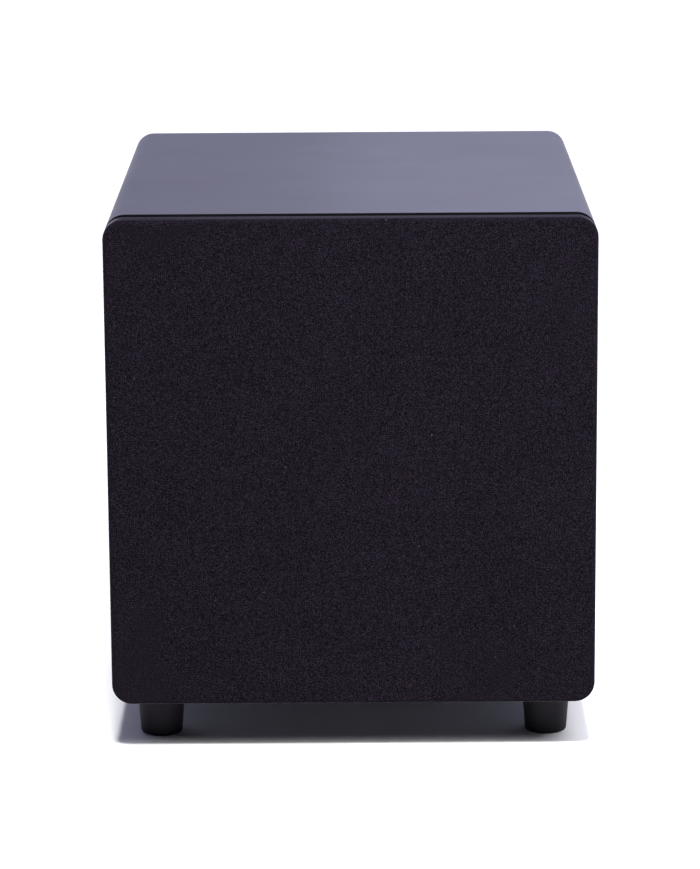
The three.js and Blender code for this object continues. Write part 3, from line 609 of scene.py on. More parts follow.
# Black anodised extrusion with fine die lines along its length.
ends, along = (grey(0.012), grey(0.035)), (1, 1, 0.02)
settings = {"gloss": (0.3, 0.48), "relief": (0.015, 0.5), "metallic": 0.7}
ANODISED = noisy("anodised", grey(0.02), 0.38, 1500, ends, 3, along, **settings)
# Yellow polyester tape wound over the copper: each turn leaves a step.
ends, along = ((0.42, 0.24, 0.02), (0.72, 0.52, 0.07)), (1, 0.2, 1)
WINDING_TAPE = noisy("winding_tape", (0.62, 0.42, 0.04), 0.35, 260, ends, 3, along, relief=(0.1, 0.5))
# Loose white polyester fibres.
ends = ((0.55, 0.54, 0.5), (0.88, 0.87, 0.85))
settings = {"coarse": 0.75, "relief": (0.8, 0.7), "sheen_weight": 0.3}
WADDING = noisy("wadding_fibre", (0.8, 0.79, 0.76), 1.0, 420, ends, 6, **settings)
# Brown paper-laminate board.
ends, along = ((0.18, 0.085, 0.03), (0.34, 0.18, 0.07)), (0.2, 1, 1)
TERMINAL_BOARD = noisy("terminal_board", (0.28, 0.14, 0.05), 0.6, 800, ends, 4, along, relief=(0.03, 0.4))
# White print.
ends = ((0.55, 0.55, 0.53), (0.78, 0.78, 0.76))
PRINT = noisy("printed_white", (0.7, 0.7, 0.68), 0.6, 2500, ends)
# A green lens.
ends = ((0.1, 0.42, 0.16), (0.16, 0.56, 0.24))
LED_LENS = noisy("led_lens", (0.12, 0.5, 0.2), 0.12, 900, ends, transmission_weight=0.6, ior=1.5)
# Sintered ferrite: charcoal with small pale crystals and a rough ground face.
ends = (grey(0.03), grey(0.09))
settings = {"span": (0.3, 0.9), "relief": (0.05, 0.5), "metallic": 0.1}
FERRITE = patterned("ferrite", grey(0.045), 0.7, lambda look: look.cells(900), ends, **settings).material
# Enamelled copper wire, wound in tight turns.
ends = ((0.35, 0.12, 0.05), (0.85, 0.42, 0.22))
settings = {"span": (0.1, 0.6), "relief": (0.12, 0.8), "metallic": 1.0}

def turns(look):
    return look.threads(0.4 * MM, "Y")


COPPER = patterned("copper_winding", (0.72, 0.3, 0.14), 0.3, turns, ends, **settings).material
# Resin-dipped cotton: amber, woven, stiff.
ends = ((0.3, 0.16, 0.05), (0.62, 0.42, 0.18))
settings = {"span": (0.1, 0.8), "relief": (0.15, 0.7)}

def cotton(look):
    return look.weave(0.8 * MM, 0.3)


SPIDER_CLOTH = patterned("spider_cloth", (0.5, 0.3, 0.1), 0.75, cotton, ends, **settings).material
# Green solder mask with the tracks showing as raised, paler lines.
ends = ((0.03, 0.22, 0.09), (0.01, 0.1, 0.04))
settings = {"span": (0.04, 0.1), "relief": (0.03, 0.4)}

def tracks(look):
    return look.cells(220, (1, 0.5, 1), "DISTANCE_TO_EDGE")


CIRCUIT_BOARD = patterned("circuit_board", (0.015, 0.13, 0.05), 0.35, tracks, ends, **settings).material


# ---- Cabinet ------------------------------------------------------------------------------------


def make_shell():
    """The wrapped box: a rounded tube with eased edges. The vinyl ends at the front edge, which carries a
    painted shade: near-black, so that the joint with the grille stays dark.
    """
    shell = size_of("cabinet_shell")
    wall, edge, painted, least_corner = 15 * MM, 3 * MM, 4 * MM, 2 * MM
    section = [(0, shell.front), (0, shell.back), (wall, shell.back), (wall, shell.front)]
    smooth = rounded(section, edge, closed=True, steps=8)
    loops = frame_loops(
        smooth, shell.width, shell.height, lambda inset: max(BOX_CORNER - inset, least_corner)
    )
    box = put("cabinet_box", loft(loops, ring=True), VINYL, "cabinet_shell")
    # Faces nearer the front than painted get the painted shade that darkens the joint with the grille.
    box.data.materials.append(JOINT_SHADE_BLACK)
    for face in box.data.polygons:
        if face.center.y < FRONT + painted:
            face.material_index = 1


def make_baffle():
    baffle = size_of("front_baffle")
    rebate_radius, rebate_depth, hole_radius, socket_radius = 105 * MM, 4.5 * MM, 94 * MM, 6.3 * MM
    sockets = [centre_of(f"peg_socket_{place}") for place in PLACES]
    holes = [circle(socket_radius, centre.x, centre.z) for centre in sockets]
    outline = rectangle(baffle.width, baffle.height, BOARD_CORNER, z=MIDDLE)
    board = slab(outline, baffle.front, baffle.back, holes=holes)
    cutter = [
        (0, baffle.front - MM),
        (rebate_radius, baffle.front - MM),
        (rebate_radius, baffle.front + rebate_depth),
        (hole_radius, baffle.front + rebate_depth),
        (hole_radius, baffle.back + MM),
        (0, baffle.back + MM),
    ]
    board = carved(board, moved(turn(cutter), z=MIDDLE))
    put("baffle_board", board, PAINTED_BOARD, "front_baffle")


def make_rear_board():
    rear, amp, port = size_of("rear_panel"), size_of("amp_panel"), size_of("port_tube")
    overlap_x, overlap_z, flange = 20 * MM, 13 * MM, 4.7 * MM
    opening = rectangle(amp.width - overlap_x, amp.height - overlap_z, 4 * MM, z=amp.centre.z)
    port_hole = circle(port.radius - flange, z=port.centre.z, steps=RING_STEPS)
    outline = rectangle(rear.width, rear.height, BOARD_CORNER, z=MIDDLE)
    board = slab(outline, rear.front, rear.back, holes=[opening, port_hole])
    put("rear_board", board, PAINTED_BOARD, "rear_panel")


def make_brace():
    """A window brace, whose window's corners are rounder than its own."""
    brace = size_of("window_brace")
    border = 24 * MM
    section = [(0, brace.front), (0, brace.back), (border, brace.back), (border, brace.front)]
    smooth = rounded(section, 0.5 * MM, closed=True)
    loops = frame_loops(smooth, brace.width, brace.height, lambda inset: BOARD_CORNER + inset * 0.7)
    put("brace_board", loft(loops, ring=True), RAW_BOARD, "window_brace")


def make_port():
    """A flared tube. Both mouths open out along a quarter of an ellipse."""
    port, rear = size_of("port_tube"), size_of("rear_panel")
    bore, mouth, wall, flare, lip, steps = 29 * MM, 35 * MM, 2.5 * MM, 22 * MM, 0.3 * MM, 14
    swell = mouth - bore

    def flared(end, direction, extra):
        points = []
        for k in range(steps + 1):
            t = k / steps
            radius = bore + extra + swell * (1 - math.sqrt(1 - t * t))
            points.append((radius, end - direction * flare * (1 - t)))
        return points

    inside = flared(port.front, -1, 0)[::-1] + flared(port.back, 1, 0)
    outside = [(port.radius, port.back), (port.radius, rear.back + lip), (mouth + wall, rear.back + lip)]
    outside += flared(rear.back, 1, wall)[::-1][1:] + flared(port.front, -1, wall)
    tube = turn(rounded(inside + outside, 0.8 * MM, closed=True))
    put("port_flare", moved(tube, z=port.centre.z), BLACK_PLASTIC, "port_tube")


def thread(radius, start, end, pitch=0.8, depth=0.25):
    """The (radius, depth) corners of a screw's shank in millimetres: its thread as rings, and a point."""
    turns = int((end - start - 2 * radius) / pitch)
    points = [(radius - depth, start)]
    for i in range(turns):
        points += [(radius, start + (i + 0.5) * pitch), (radius - depth, start + (i + 1) * pitch)]
    return points + [(0, end)]


def screw(head_radius, head_height, shank_radius, length, recess="cross"):
    """A pan-head screw along +Y whose head's top is at the origin. All in millimetres."""
    dome = arc(0.6 * head_radius, 0.5 * head_height, 0.4 * head_radius, -90, 0, 5)
    top = dome[0][1]
    profile = [(0, top), *dome, (head_radius, head_height), *thread(shank_radius, head_height, length)]
    body = turn([(radius * MM, depth * MM) for radius, depth in profile], 32)
    if recess == "hexagon":
        socket = [(0, top - 1), (0.38 * head_radius, top - 1), (0.38 * head_radius, top + 2), (0, top + 2)]
        return carved(body, turn([(radius * MM, depth * MM) for radius, depth in socket], 6))
    long, short, deep = 0.5 * head_radius, 0.1 * head_radius, 0.6 * head_height
    bars = []
    for half_x, half_z in ((long, short), (short, long)):
        bars.append(ranged((0, 0, 0), (-half_x, half_x), (top - 1, top + deep), (-half_z, half_z), 0.15))
    return carved(body, *bars)


def facing_back(fastener, x, y, z):
    """A screw turned so that its head's top is at a place on the back and faces +Y."""
    return placed(fastener, Matrix.Translation((x, y, z)), HALF_TURN)


def make_feet():
    """Tapered round feet with a rolled lower edge, each held by a screw up inside its recess."""
    hole, recess, seat, taper = 2.4 * MM, 6 * MM, 22 * MM, 2.3 * MM
    for place in ("front_left", "front_right", "rear_left", "rear_right"):
        foot, bolt = size_of(f"foot_{place}"), size_of(f"foot_screw_{place}")
        top, radius = foot.high.z, foot.width / 2
        profile = [(hole, top), (radius, top), (radius - taper, 0)]
        profile += [(recess, 0), (recess, seat), (hole, seat)]
        smooth = rounded(profile, 1.6 * MM, closed=True, steps=5)
        body = moved(upright(turn(smooth, 96)), foot.centre.x, foot.centre.y)
        put(f"round_foot_{place}", body, FOOT_RUBBER, f"foot_{place}")
        fastener = upright(screw(5, 3.3, 2, bolt.height / MM))
        fastener = moved(fastener, foot.centre.x, foot.centre.y, bolt.low.z)
        put(f"pan_screw_{place}", fastener, STEEL, f"foot_screw_{place}")


# ---- Grille -------------------------------------------------------------------------------------

CLOTH = size_of("grille_cloth")
CLOTH_THICKNESS = 0.8 * MM
HEM = 18 * MM


def slack(x):
    """How much looser the cloth lies along its top left edge, from 0 to 1."""
    across = max(0.0, min(1.0, (-x - 0.035) / 0.1))
    return across * across * (3 - 2 * across) * (0.65 + 0.35 * math.sin(x * 95))


def settle(point):
    """Moves a point of the stretched cloth: softer along the top left, and slightly uneven."""
    x, y, z = point
    top = MIDDLE + CLOTH.height / 2
    near_edge = math.exp(-(((top - z) / (3.5 * MM)) ** 2) - (((y - CLOTH.front) / (4 * MM)) ** 2))
    drop = 1.0 * MM * slack(x) * near_edge
    ripple = 0.12 * MM * noise.noise(Vector((x * 60, y * 90, z * 60)))
    broad = 0.25 * MM * noise.noise(Vector((x * 11, 3.1, z * 11)))
    return Vector((x, y + max(0.0, 0.7 * drop + broad + ripple), z - drop))


def make_grille_cloth():
    """One sheet from the glued hem on the back, round the edges, to the middle of the front."""
    depth = (CLOTH.front + CLOTH.back) / 2
    section = rounded([(HEM, CLOTH.back), (0, CLOTH.back), (0, depth)], 3.4 * MM, steps=6)
    section += rounded([(0, depth), (0, CLOTH.front), (HEM, CLOTH.front)], 4.3 * MM, steps=8)[1:]
    reach, steps, least_corner = min(CLOTH.width, CLOTH.height) / 2 - 2 * MM - HEM, 22, 1.5 * MM
    section += [(HEM + reach * k / steps, CLOTH.front) for k in range(1, steps + 1)]
    loops = []
    for inset, y in section:
        width, height = CLOTH.width - 2 * inset, CLOTH.height - 2 * inset
        radius = min(max(BOX_CORNER - inset, least_corner), 0.49 * width)
        outline = rectangle(width, height, radius, z=MIDDLE, side_steps=48)
        loops.append([settle((x, y, z)) for x, z in outline])
    sheet = bmesh.new()
    rows = joined_rows(sheet, loops)
    middle = sheet.faces.new(rows[-1])
    outward(sheet)
    if middle.normal.y > 0:
        bmesh.ops.reverse_faces(sheet, faces=sheet.faces)
    piece = as_object("stretched_cloth", sheet, FABRIC)
    apply(piece, "SOLIDIFY", thickness=CLOTH_THICKNESS, offset=-1.0, use_even_offset=True)
    finish_shading(piece)
    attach(piece, "grille")
    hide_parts("grille_cloth")


def make_grille_frame():
    """A routed board with a large window, its edges eased where the cloth turns over them."""
    board = size_of("grille_frame")
    border, window_corner, outer_corner = 25 * MM - (CLOTH.width - board.width) / 2, 60 * MM, 11 * MM
    peg_radius, peg_depth, side_gap, front_gap = 3.9 * MM, 8 * MM, 0.6 * MM, 0.2 * MM
    window = rectangle(board.width - 2 * border, board.height - 2 * border, window_corner, z=MIDDLE)
    outline = rectangle(board.width - side_gap, board.height - side_gap, outer_corner, z=MIDDLE)
    shape = slab(outline, board.front + front_gap, board.back, 4.4 * MM, holes=[window])
    inner, outer = board.back - peg_depth, board.back + MM
    profile = [(0, inner), (peg_radius, inner), (peg_radius, outer), (0, outer)]
    pegs = [centre_of(f"grille_peg_{place}") for place in PLACES]
    shape = carved(shape, *[moved(turn(profile, 24), peg.x, 0, peg.z) for peg in pegs])
    put("grille_board", shape, PAINTED_BOARD, "grille_frame", "grille")


def make_pegs():
    """Push-fit pegs with a collar and a bulb at the tip, and the rubber sockets that grip them."""
    for place in PLACES:
        peg = size_of(f"grille_peg_{place}")
        length, collar, thick = peg.depth / MM, 7.8, 2.7
        profile = [(0, 0), (2.6, 0)]
        for k in range(5):
            profile += [(3.2, 0.6 + 1.4 * k), (3.6, 1.3 + 1.4 * k)]
        profile += [(3.2, collar), (6.5, collar), (6.5, collar + thick)]
        profile += [(3.5, collar + thick), (3.5, collar + 3)]
        profile += [(2.7, length - 7), (2.7, length - 5.6), (3.6, length - 3.4), (3.3, length - 1.1)]
        profile += [(1.7, length), (0, length)]
        shape = spun(profile, Vector((peg.centre.x, peg.front, peg.centre.z)), 0.25, 40)
        put(f"push_peg_{place}", shape, BLACK_PLASTIC, f"grille_peg_{place}", "grille")

        socket = size_of(f"peg_socket_{place}")
        end = socket.depth / MM
        profile = [(0, end - 1.2), (3.9, end - 1.2), (3.9, 1.2), (4.9, 0), (8, 0), (8, 0.8), (6, 0.8)]
        for k in range(4):
            profile += [(6, 3 + 3 * k), (6.2, 3.8 + 3 * k), (6, 4.6 + 3 * k)]
        profile += [(6, end), (0, end)]
        shape = spun(profile, Vector((socket.centre.x, socket.front, socket.centre.z)), 0.3, 40)
        put(f"rubber_socket_{place}", shape, BLACK_RUBBER, f"peg_socket_{place}")


# ---- Woofer -------------------------------------------------------------------------------------


def wedge_outline(inner, outer, angle, spread, edge=4):
    """Part of the ring between two radii in millimetres, with rounded corners, as an outline in X and Z."""
    first, last = angle - spread / 2, angle + spread / 2
    points = arc(0, 0, outer, first, last, 8) + arc(0, 0, inner, last, first, 8)
    return rounded([(x * MM, MIDDLE + z * MM) for x, z in points], edge * MM, closed=True)


def make_basket():
    """A pressed steel basket: a beaded flange, six spokes and a landing for the spider and the motor."""
    profile = [(104, 1.8), (104, 4.6), (92.8, 4.6), (90.5, 22), (66.5, 58), (66.5, 61.5), (57.5, 70.5)]
    profile += [(57.5, 71.7), (27, 71.7), (27, 69.5), (54.5, 69.5), (54.5, 60.5), (55, 58), (63, 58)]
    profile += [(87.6, 21), (87.6, 4.4), (86, 1.8)]
    spokes, window, window_front, window_back = 6, 43, FRONT + 24 * MM, FRONT + 54 * MM
    cutters = []
    for i in range(spokes):
        opening = wedge_outline(40, 100, 360 * i / spokes, window)
        cutters.append(slab(opening, window_front, window_back, 0.2 * MM))
    hole_radius, hole_depth = 2.4 * MM, 8 * MM
    drill = [(0, 0), (hole_radius, 0), (hole_radius, hole_depth), (0, hole_depth)]
    for place in PLACES:
        hole = centre_of(f"woofer_screw_{place}")
        cutters.append(moved(turn(drill, 24), hole.x, FRONT, hole.z))
    shape = carved(spun(profile, edge=1.2), *cutters)
    put("pressed_basket", shape, POWDER_COAT, "woofer_basket")


def make_woofer_screws():
    for place in PLACES:
        found = size_of(f"woofer_screw_{place}")
        shape = screw(4, 2.6, 1.8, found.depth / MM, "hexagon")
        shape = moved(shape, found.centre.x, found.front, found.centre.z)
        put(f"socket_screw_{place}", shape, BLACK_STEEL, f"woofer_screw_{place}")


def put_flexing(name, shape, look, node):
    """A piece between the cone and the cabinet; on the real speaker it flexes as the cone moves.
    Here it is made rigid and in place, with its transform baked in, and rides on no body."""
    piece = as_object(name, shape, look)
    finish_shading(piece)
    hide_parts(node)
    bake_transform(piece)


def make_suspension():
    """The rubber half roll in front, its trim ring, and the corrugated spider behind."""
    middle, roll, thick, front = 77.5, 6.5, 0.8, 0.7
    outer = arc(middle, front, roll, 0, -180, 24)
    inner = arc(middle, front + thick, roll - thick, -180, 0, 24)
    profile = [(92, front + thick), (92, front), *outer, (66.5, front), (66.5, front + thick), *inner]
    put_flexing("rubber_surround", spun(profile), BLACK_RUBBER, "surround")

    trim = [(84.5, 0.4), (84.5, -1.2), (85.8, -1.9), (91.2, -1.9), (92.5, -1.2), (92.5, 0.4)]
    put("edge_trim", spun(trim, edge=0.8), BLACK_RUBBER, "trim_ring")

    first, last, depth, ridges, height, thick, steps = 22.8, 54, 57.4, 6, 1.8, 0.6, 72
    waves = []
    for k in range(steps + 1):
        along = k / steps
        waves.append((first + (last - first) * along, depth - height * math.sin(math.pi * ridges * along)))
    face = [(19.9, depth), *waves, (61, depth)]
    back = [(radius, behind + thick) for radius, behind in reversed(face)]
    shape = spun(face + back, edge=0.1)
    put_flexing("corrugated_spider", shape, SPIDER_CLOTH, "spider")


def make_cone():
    """The paper cone with three pressed rings."""
    start, end, steps, thick = Vector((66, 1.8)), Vector((21.8, 41.5)), 44, 1.1
    flank = []
    for k in range(1, steps):
        along = k / steps
        point = start.lerp(end, along)
        curved = 1.6 * math.sin(math.pi * along)
        ring = 0.35 * max(0.0, math.cos(math.tau * 4 * along)) ** 6
        flank.append((point.x - 0.3 * curved, point.y - curved * 0.6 + ring))
    front_face = [(71, 1.8), (66, 1.8), *flank, (21.8, 41.5), (19.8, 43.8), (19.8, 47)]
    back_flank = [(radius + 0.75 * thick, depth + 0.75 * thick) for radius, depth in reversed(flank)]
    back_face = [(19.8 + thick, 47), (19.8 + thick, 44.3), *back_flank, (66.4, 2.9), (71, 2.9)]
    shape = spun(front_face + back_face, edge=0.4)
    put("pressed_cone", shape, CONE_PAPER, "cone", "cone_assembly")


def make_coil():
    """The dust cap, the former and the coil, wound in turns of round wire."""
    radius, centre, thick, rim = 44.5, 64.5, 0.9, -47.5
    outside = arc(0, centre, radius, -90, rim, 24)
    inside = arc(0, centre, radius - thick, rim, -90, 24)
    profile = [(0, centre - radius), *outside[1:], *inside[:-1], (0, centre - radius + thick)]
    put("domed_cap", spun(profile, edge=0.2), CONE_PAPER, "dust_cap", "cone_assembly")

    former = [(19, 40), (19.5, 40), (19.5, 88), (19, 88)]
    put("former_sleeve", spun(former, edge=0.1), ALUMINIUM, "coil_former", "cone_assembly")

    turns, inner, first, wire = 40, 19.8, 66, 0.5
    winding = [(inner, first)]
    for i in range(turns):
        middle = first + wire * (i + 0.5)
        winding += [(inner + wire + r, middle + y) for r, y in arc(0, 0, wire / 2, -80, 80, 3)]
    winding.append((inner, first + turns * wire))
    put("wound_coil", spun(winding, edge=0.02), COPPER, "voice_coil", "cone_assembly")


def make_motor():
    top_plate = [(21.2, 72), (54, 72), (55, 73), (55, 80), (21.2, 80)]
    put("motor_top_plate", spun(top_plate, edge=0.5), STEEL, "top_plate")
    magnet = [(30, 80.3), (58.5, 80.3), (60, 82), (60, 98.5), (58.5, 100), (30, 100)]
    put("ferrite_ring", spun(magnet, edge=0.7), FERRITE, "magnet")
    yoke = [(6, 71), (17.4, 71), (18.4, 72), (18.4, 100.3), (55, 100.3), (55, 107), (54, 108)]
    yoke += [(46, 108), (44, 107.2), (20, 107.2), (18, 108), (9, 108), (6, 104)]
    put("pole_and_yoke", spun(yoke, edge=0.5), STEEL, "pole_yoke")


def make_terminals():
    """A paper-laminate board with two solder tags, and the braided leads that run from it to the cone."""
    origin = (0, 0, 0)
    seat = Matrix.Translation(at(0, 38, -82.3)) @ Matrix.Rotation(math.atan2(24, 36), 4, "X")
    board = placed(ranged(origin, (-13, 13), (-7, 7), (-0.8, 0.8), 0.3), seat)
    put("terminal_board", board, TERMINAL_BOARD, "terminal_strip")

    tags = []
    for x in (-9, 9):
        tags.append(ranged(origin, (x - 2.5, x + 2.5), (4.5, 13.5), (-1, -0.2), 0.15))
        tags.append(ranged(origin, (x - 2, x + 2), (-5, -1), (-2.6, -0.9), 0.5))
        eyelet = turn([(0.7 * MM, -0.5 * MM), (1.5 * MM, -0.5 * MM), (1.5 * MM, 0), (0.7 * MM, 0)], 20)
        tags.append(placed(eyelet, Matrix.Translation((x * MM, 0, 0.8 * MM)), QUARTER_TURN))
    put("solder_tags", placed(together(*tags), seat), BRASS)

    route = [(14.4, 36.5, -82.6), (14.8, 37.6, -78), (13, 43.5, -66), (9.5, 47, -50), (6.5, 43.6, -36)]
    route.append((5.5, 38.2, -29.4))
    for side, sign in (("left", -1), ("right", 1)):
        lead = braid([at(sign * x, y, z) for x, y, z in route], 0.8 * MM)
        put_flexing(f"braided_lead_{side}", lead, COPPER, f"tinsel_lead_{side}")


def braid(points, radius, strands=3, pitch=3.2 * MM):
    """Thin strands wound round a smooth line through points, as a tinsel lead is."""
    line = smooth_line(points, 10)
    wires = []
    for strand in range(strands):
        path, run = [], 0.0
        for i, point in enumerate(line):
            following = line[min(i + 1, len(line) - 1)]
            along = (following - line[max(i - 1, 0)]).normalized()
            across = along.cross(Vector((1, 0, 0))).normalized()
            angle = math.tau * (strand / strands + run / pitch)
            swing = across * math.cos(angle) + along.cross(across) * math.sin(angle)
            path.append(point + 0.45 * radius * swing)
            run += (following - point).length
        wires.append(hose(path, 0.55 * radius, steps=1, sides=2))
    return together(*wires)


def smooth_line(points, steps):
    """Points along a Catmull-Rom curve through the given ones."""
    ends = [2 * points[0] - points[1], *points, 2 * points[-1] - points[-2]]
    line = []
    for a, b, c, d in zip(ends, ends[1:], ends[2:], ends[3:]):
        for k in range(steps):
            t = k / steps
            square, cube = 2 * a - 5 * b + 4 * c - d, 3 * b - a - 3 * c + d
            line.append((2 * b + (c - a) * t + square * t**2 + cube * t**3) / 2)
    return line + [points[-1]]


def make_speaker_lead():
    """A flat red and black twin lead from the terminals, through the brace, to the power board."""
    route = [(0, 51, -78.5), (0, 60, -84), (2, 80, -98), (4, 105, -106), (6, 135, -106), (8, 165, -112)]
    route += [(12, 195, -118), (20, 225, -112), (28, 248, -92), (31, 258.5, -76)]
    radius = 1.25
    strands = (("red", LEAD_RED, -1, "speaker_lead"), ("black", LEAD_BLACK, 1, None))
    for colour_name, look, side, node in strands:
        shape = hose([at(x + side * radius, y, z) for x, y, z in route], radius * MM, steps=8)
        put(f"speaker_lead_{colour_name}", shape, look, node)


# ---- Amplifier module ---------------------------------------------------------------------------

AMP = size_of("amp_panel")
KNOB_AXES = [centre_of(f"{name}_shaft") for name in ("volume", "crossover")]
SWITCH_STEMS = [centre_of(f"{name}_slider") for name in ("phase", "standby")]
HALF_TRAVEL = 2  # millimetres from a switch's stem at rest to the middle of its travel


def screw_places():
    """Where the panel's ten screws are: six down its sides, and four along its top and bottom."""
    inset, along = 6 * MM, 5 * MM
    low, high = AMP.low, AMP.high
    sides = (low.x + inset, high.x - inset)
    levels = (low.z + inset, AMP.centre.z, high.z - inset)
    places = [(x, z) for x in sides for z in levels]
    return places + [(x * MM, z) for x in (-36, 8) for z in (low.z + along, high.z - along)]


def make_amp_panel():
    """A painted steel plate with openings for each control, and its ten screws."""
    jacks, led = centre_of("line_jacks"), centre_of("status_led")
    inlet, rocker = centre_of("power_inlet"), centre_of("rocker_bezel")
    half_pitch = 9 * MM
    holes = [circle(4 * MM, c.x, c.z) for c in KNOB_AXES]
    holes += [rectangle(9 * MM, 4.6 * MM, 0.8 * MM, c.x + HALF_TRAVEL * MM, c.z) for c in SWITCH_STEMS]
    holes += [circle(5.8 * MM, jacks.x + side * half_pitch, jacks.z) for side in (-1, 1)]
    holes.append(circle(2.7 * MM, led.x, led.z, 32))
    holes.append(rectangle(28.1 * MM, 29.6 * MM, 1 * MM, inlet.x, inlet.z))
    holes.append(rectangle(13.5 * MM, 19.5 * MM, 1 * MM, rocker.x, rocker.z))
    outline = rectangle(AMP.width, AMP.height, 4 * MM, z=AMP.centre.z)
    plate = slab(outline, AMP.front, AMP.back, 0.5 * MM, holes=holes)
    put("control_plate", plate, POWDER_COAT, "amp_panel")

    head = 1.9
    fasteners = []
    for x, z in screw_places():
        fasteners.append(facing_back(screw(3.3, head, 1.6, 12), x, AMP.back + head * MM, z))
    put("panel_screws", together(*fasteners), BLACK_STEEL)


def make_panel_marks():
    """Printed ticks round each knob and a dot at each end of each switch's travel."""
    ticks, sweep, ring, thick = 11, math.radians(300), 14.5 * MM, 0.05 * MM
    marks = []
    for centre in KNOB_AXES:
        for i in range(ticks):
            angle = -sweep / 2 + sweep * i / (ticks - 1)
            long_tick = i in (0, ticks // 2, ticks - 1)
            half_length, half_width = (1.7 * MM, 0.35 * MM) if long_tick else (1.1 * MM, 0.25 * MM)
            tick = block((-half_width, 0, -half_length), (half_width, thick, half_length), 0.01 * MM, 1)
            turned = Matrix.Rotation(angle, 4, "Y") @ Matrix.Translation((0, 0, ring))
            marks.append(placed(tick, Matrix.Translation((centre.x, AMP.back, centre.z)) @ turned))
    radius = 0.55 * MM
    for centre in SWITCH_STEMS:
        for aside in (-4.5, 8.5):
            dot = turn([(0, 0), (radius, 0), (radius, thick), (0, thick)], 20)
            marks.append(moved(dot, centre.x + aside * MM, AMP.back, centre.z))
    put("printed_marks", together(*marks), PRINT)


def make_heat_sink():
    """An extruded section: a base with seventeen tapered fins, sawn to length."""
    sink = size_of("heat_sink")
    count, thick, taper, base, chamfer, shrink = 17, 1.8 * MM, 0.3 * MM, 4 * MM, 0.3 * MM, 0.15 * MM
    pitch = (sink.width - thick) / (count - 1)
    outline = [(sink.low.x, sink.front)]
    for i in range(count):
        left = sink.low.x + i * pitch
        right = left + thick
        if i:
            outline.append((left, sink.front + base))
        outline += [(left + taper, sink.back), (right - taper, sink.back)]
        if i < count - 1:
            outline.append((right, sink.front + base))
    outline.append((sink.high.x, sink.front))
    smooth = rounded(outline, 0.5 * MM, closed=True)
    low, high = sink.low.z, sink.high.z
    loops = []
    for z, inward in ((low, shrink), (low + chamfer, 0), (high - chamfer, 0), (high, shrink)):
        loops.append([(x, y - inward if y > sink.front + MM else y, z) for x, y in smooth])
    put("finned_sink", loft(loops), ANODISED, "heat_sink")


def resistors(*starts):
    """Rows of five small drum-shaped resistors along X, each row from a starting place."""
    count, pitch, length, radius = 5, 9 * MM, 6.0, 1.1
    waist, shoulder = 0.75 * radius, 0.8 * radius
    profile = [(0, 0), (shoulder, 0), (radius, 0.6), (radius, 1.4), (waist, 2), (waist, length - 2)]
    profile += [(radius, length - 1.4), (radius, length - 0.6), (shoulder, length), (0, length)]
    row = []
    for start in starts:
        for i in range(count):
            drum = turn([(r * MM, y * MM) for r, y in profile], 20)
            place = Matrix.Translation(start + Vector((i * pitch, 0, 0)))
            row.append(placed(drum, place, Matrix.Rotation(-math.pi / 2, 4, "Z")))
    return row


def make_control_board():
    """A circuit board with two potentiometers, two switch housings and a few small parts."""
    node, led = size_of("control_board"), centre_of("status_led")
    back = node.front + 1.6 * MM
    outline = rectangle(node.width, node.height, 2 * MM, node.centre.x, node.centre.z)
    board = slab(outline, node.front, back, 0.15 * MM)
    put("control_circuit_board", board, CIRCUIT_BOARD, "control_board")

    def midway(x, front_face, z):
        """A point halfway between the board and a part's outer face, whose depth is in millimetres."""
        return Vector((x, (back + FRONT + front_face * MM) / 2, z))

    cans, housings = [], []
    for centre in KNOB_AXES:
        axis = Vector((centre.x, FRONT, centre.z))
        body = bar(midway(centre.x, 339, centre.z), (17, 9.2, 17), 0.8)
        neck = spun([(3.4, 338.5), (4.6, 338.5), (4.6, 346), (3.4, 346)], axis, 0.3, 40)
        rim = spun([(4.7, 339), (7.4, 339), (7.4, 340), (4.7, 340)], axis, 0.2, 40)
        hole = spun([(0, 331.5), (3.4, 331.5), (3.4, 346.5), (0, 346.5)], axis, 0, 40)
        cans += [carved(body, hole), neck, rim]
    for centre in SWITCH_STEMS:
        x = centre.x + HALF_TRAVEL * MM
        body = bar(midway(x, 344, centre.z), (15, 14.2, 9), 0.5)
        channel = bar(Vector((x, FRONT + 342.5 * MM, centre.z)), (10.6, 7.4, 5.6), 0.2)
        housings.append(carved(body, channel))
    put("control_cans", together(*cans), NICKEL)
    put("switch_housings", together(*housings), BLACK_PLASTIC)

    legs = bar(midway(led.x, 338.4, led.z), (4, 8.6, 4), 0.3)
    y = back + 1.2 * MM
    starts = (Vector((-60 * MM, y, MIDDLE - 50 * MM)), Vector((-88 * MM, y, MIDDLE - 15 * MM)))
    put("control_board_parts", together(legs, *resistors(*starts)), TERMINAL_BOARD)


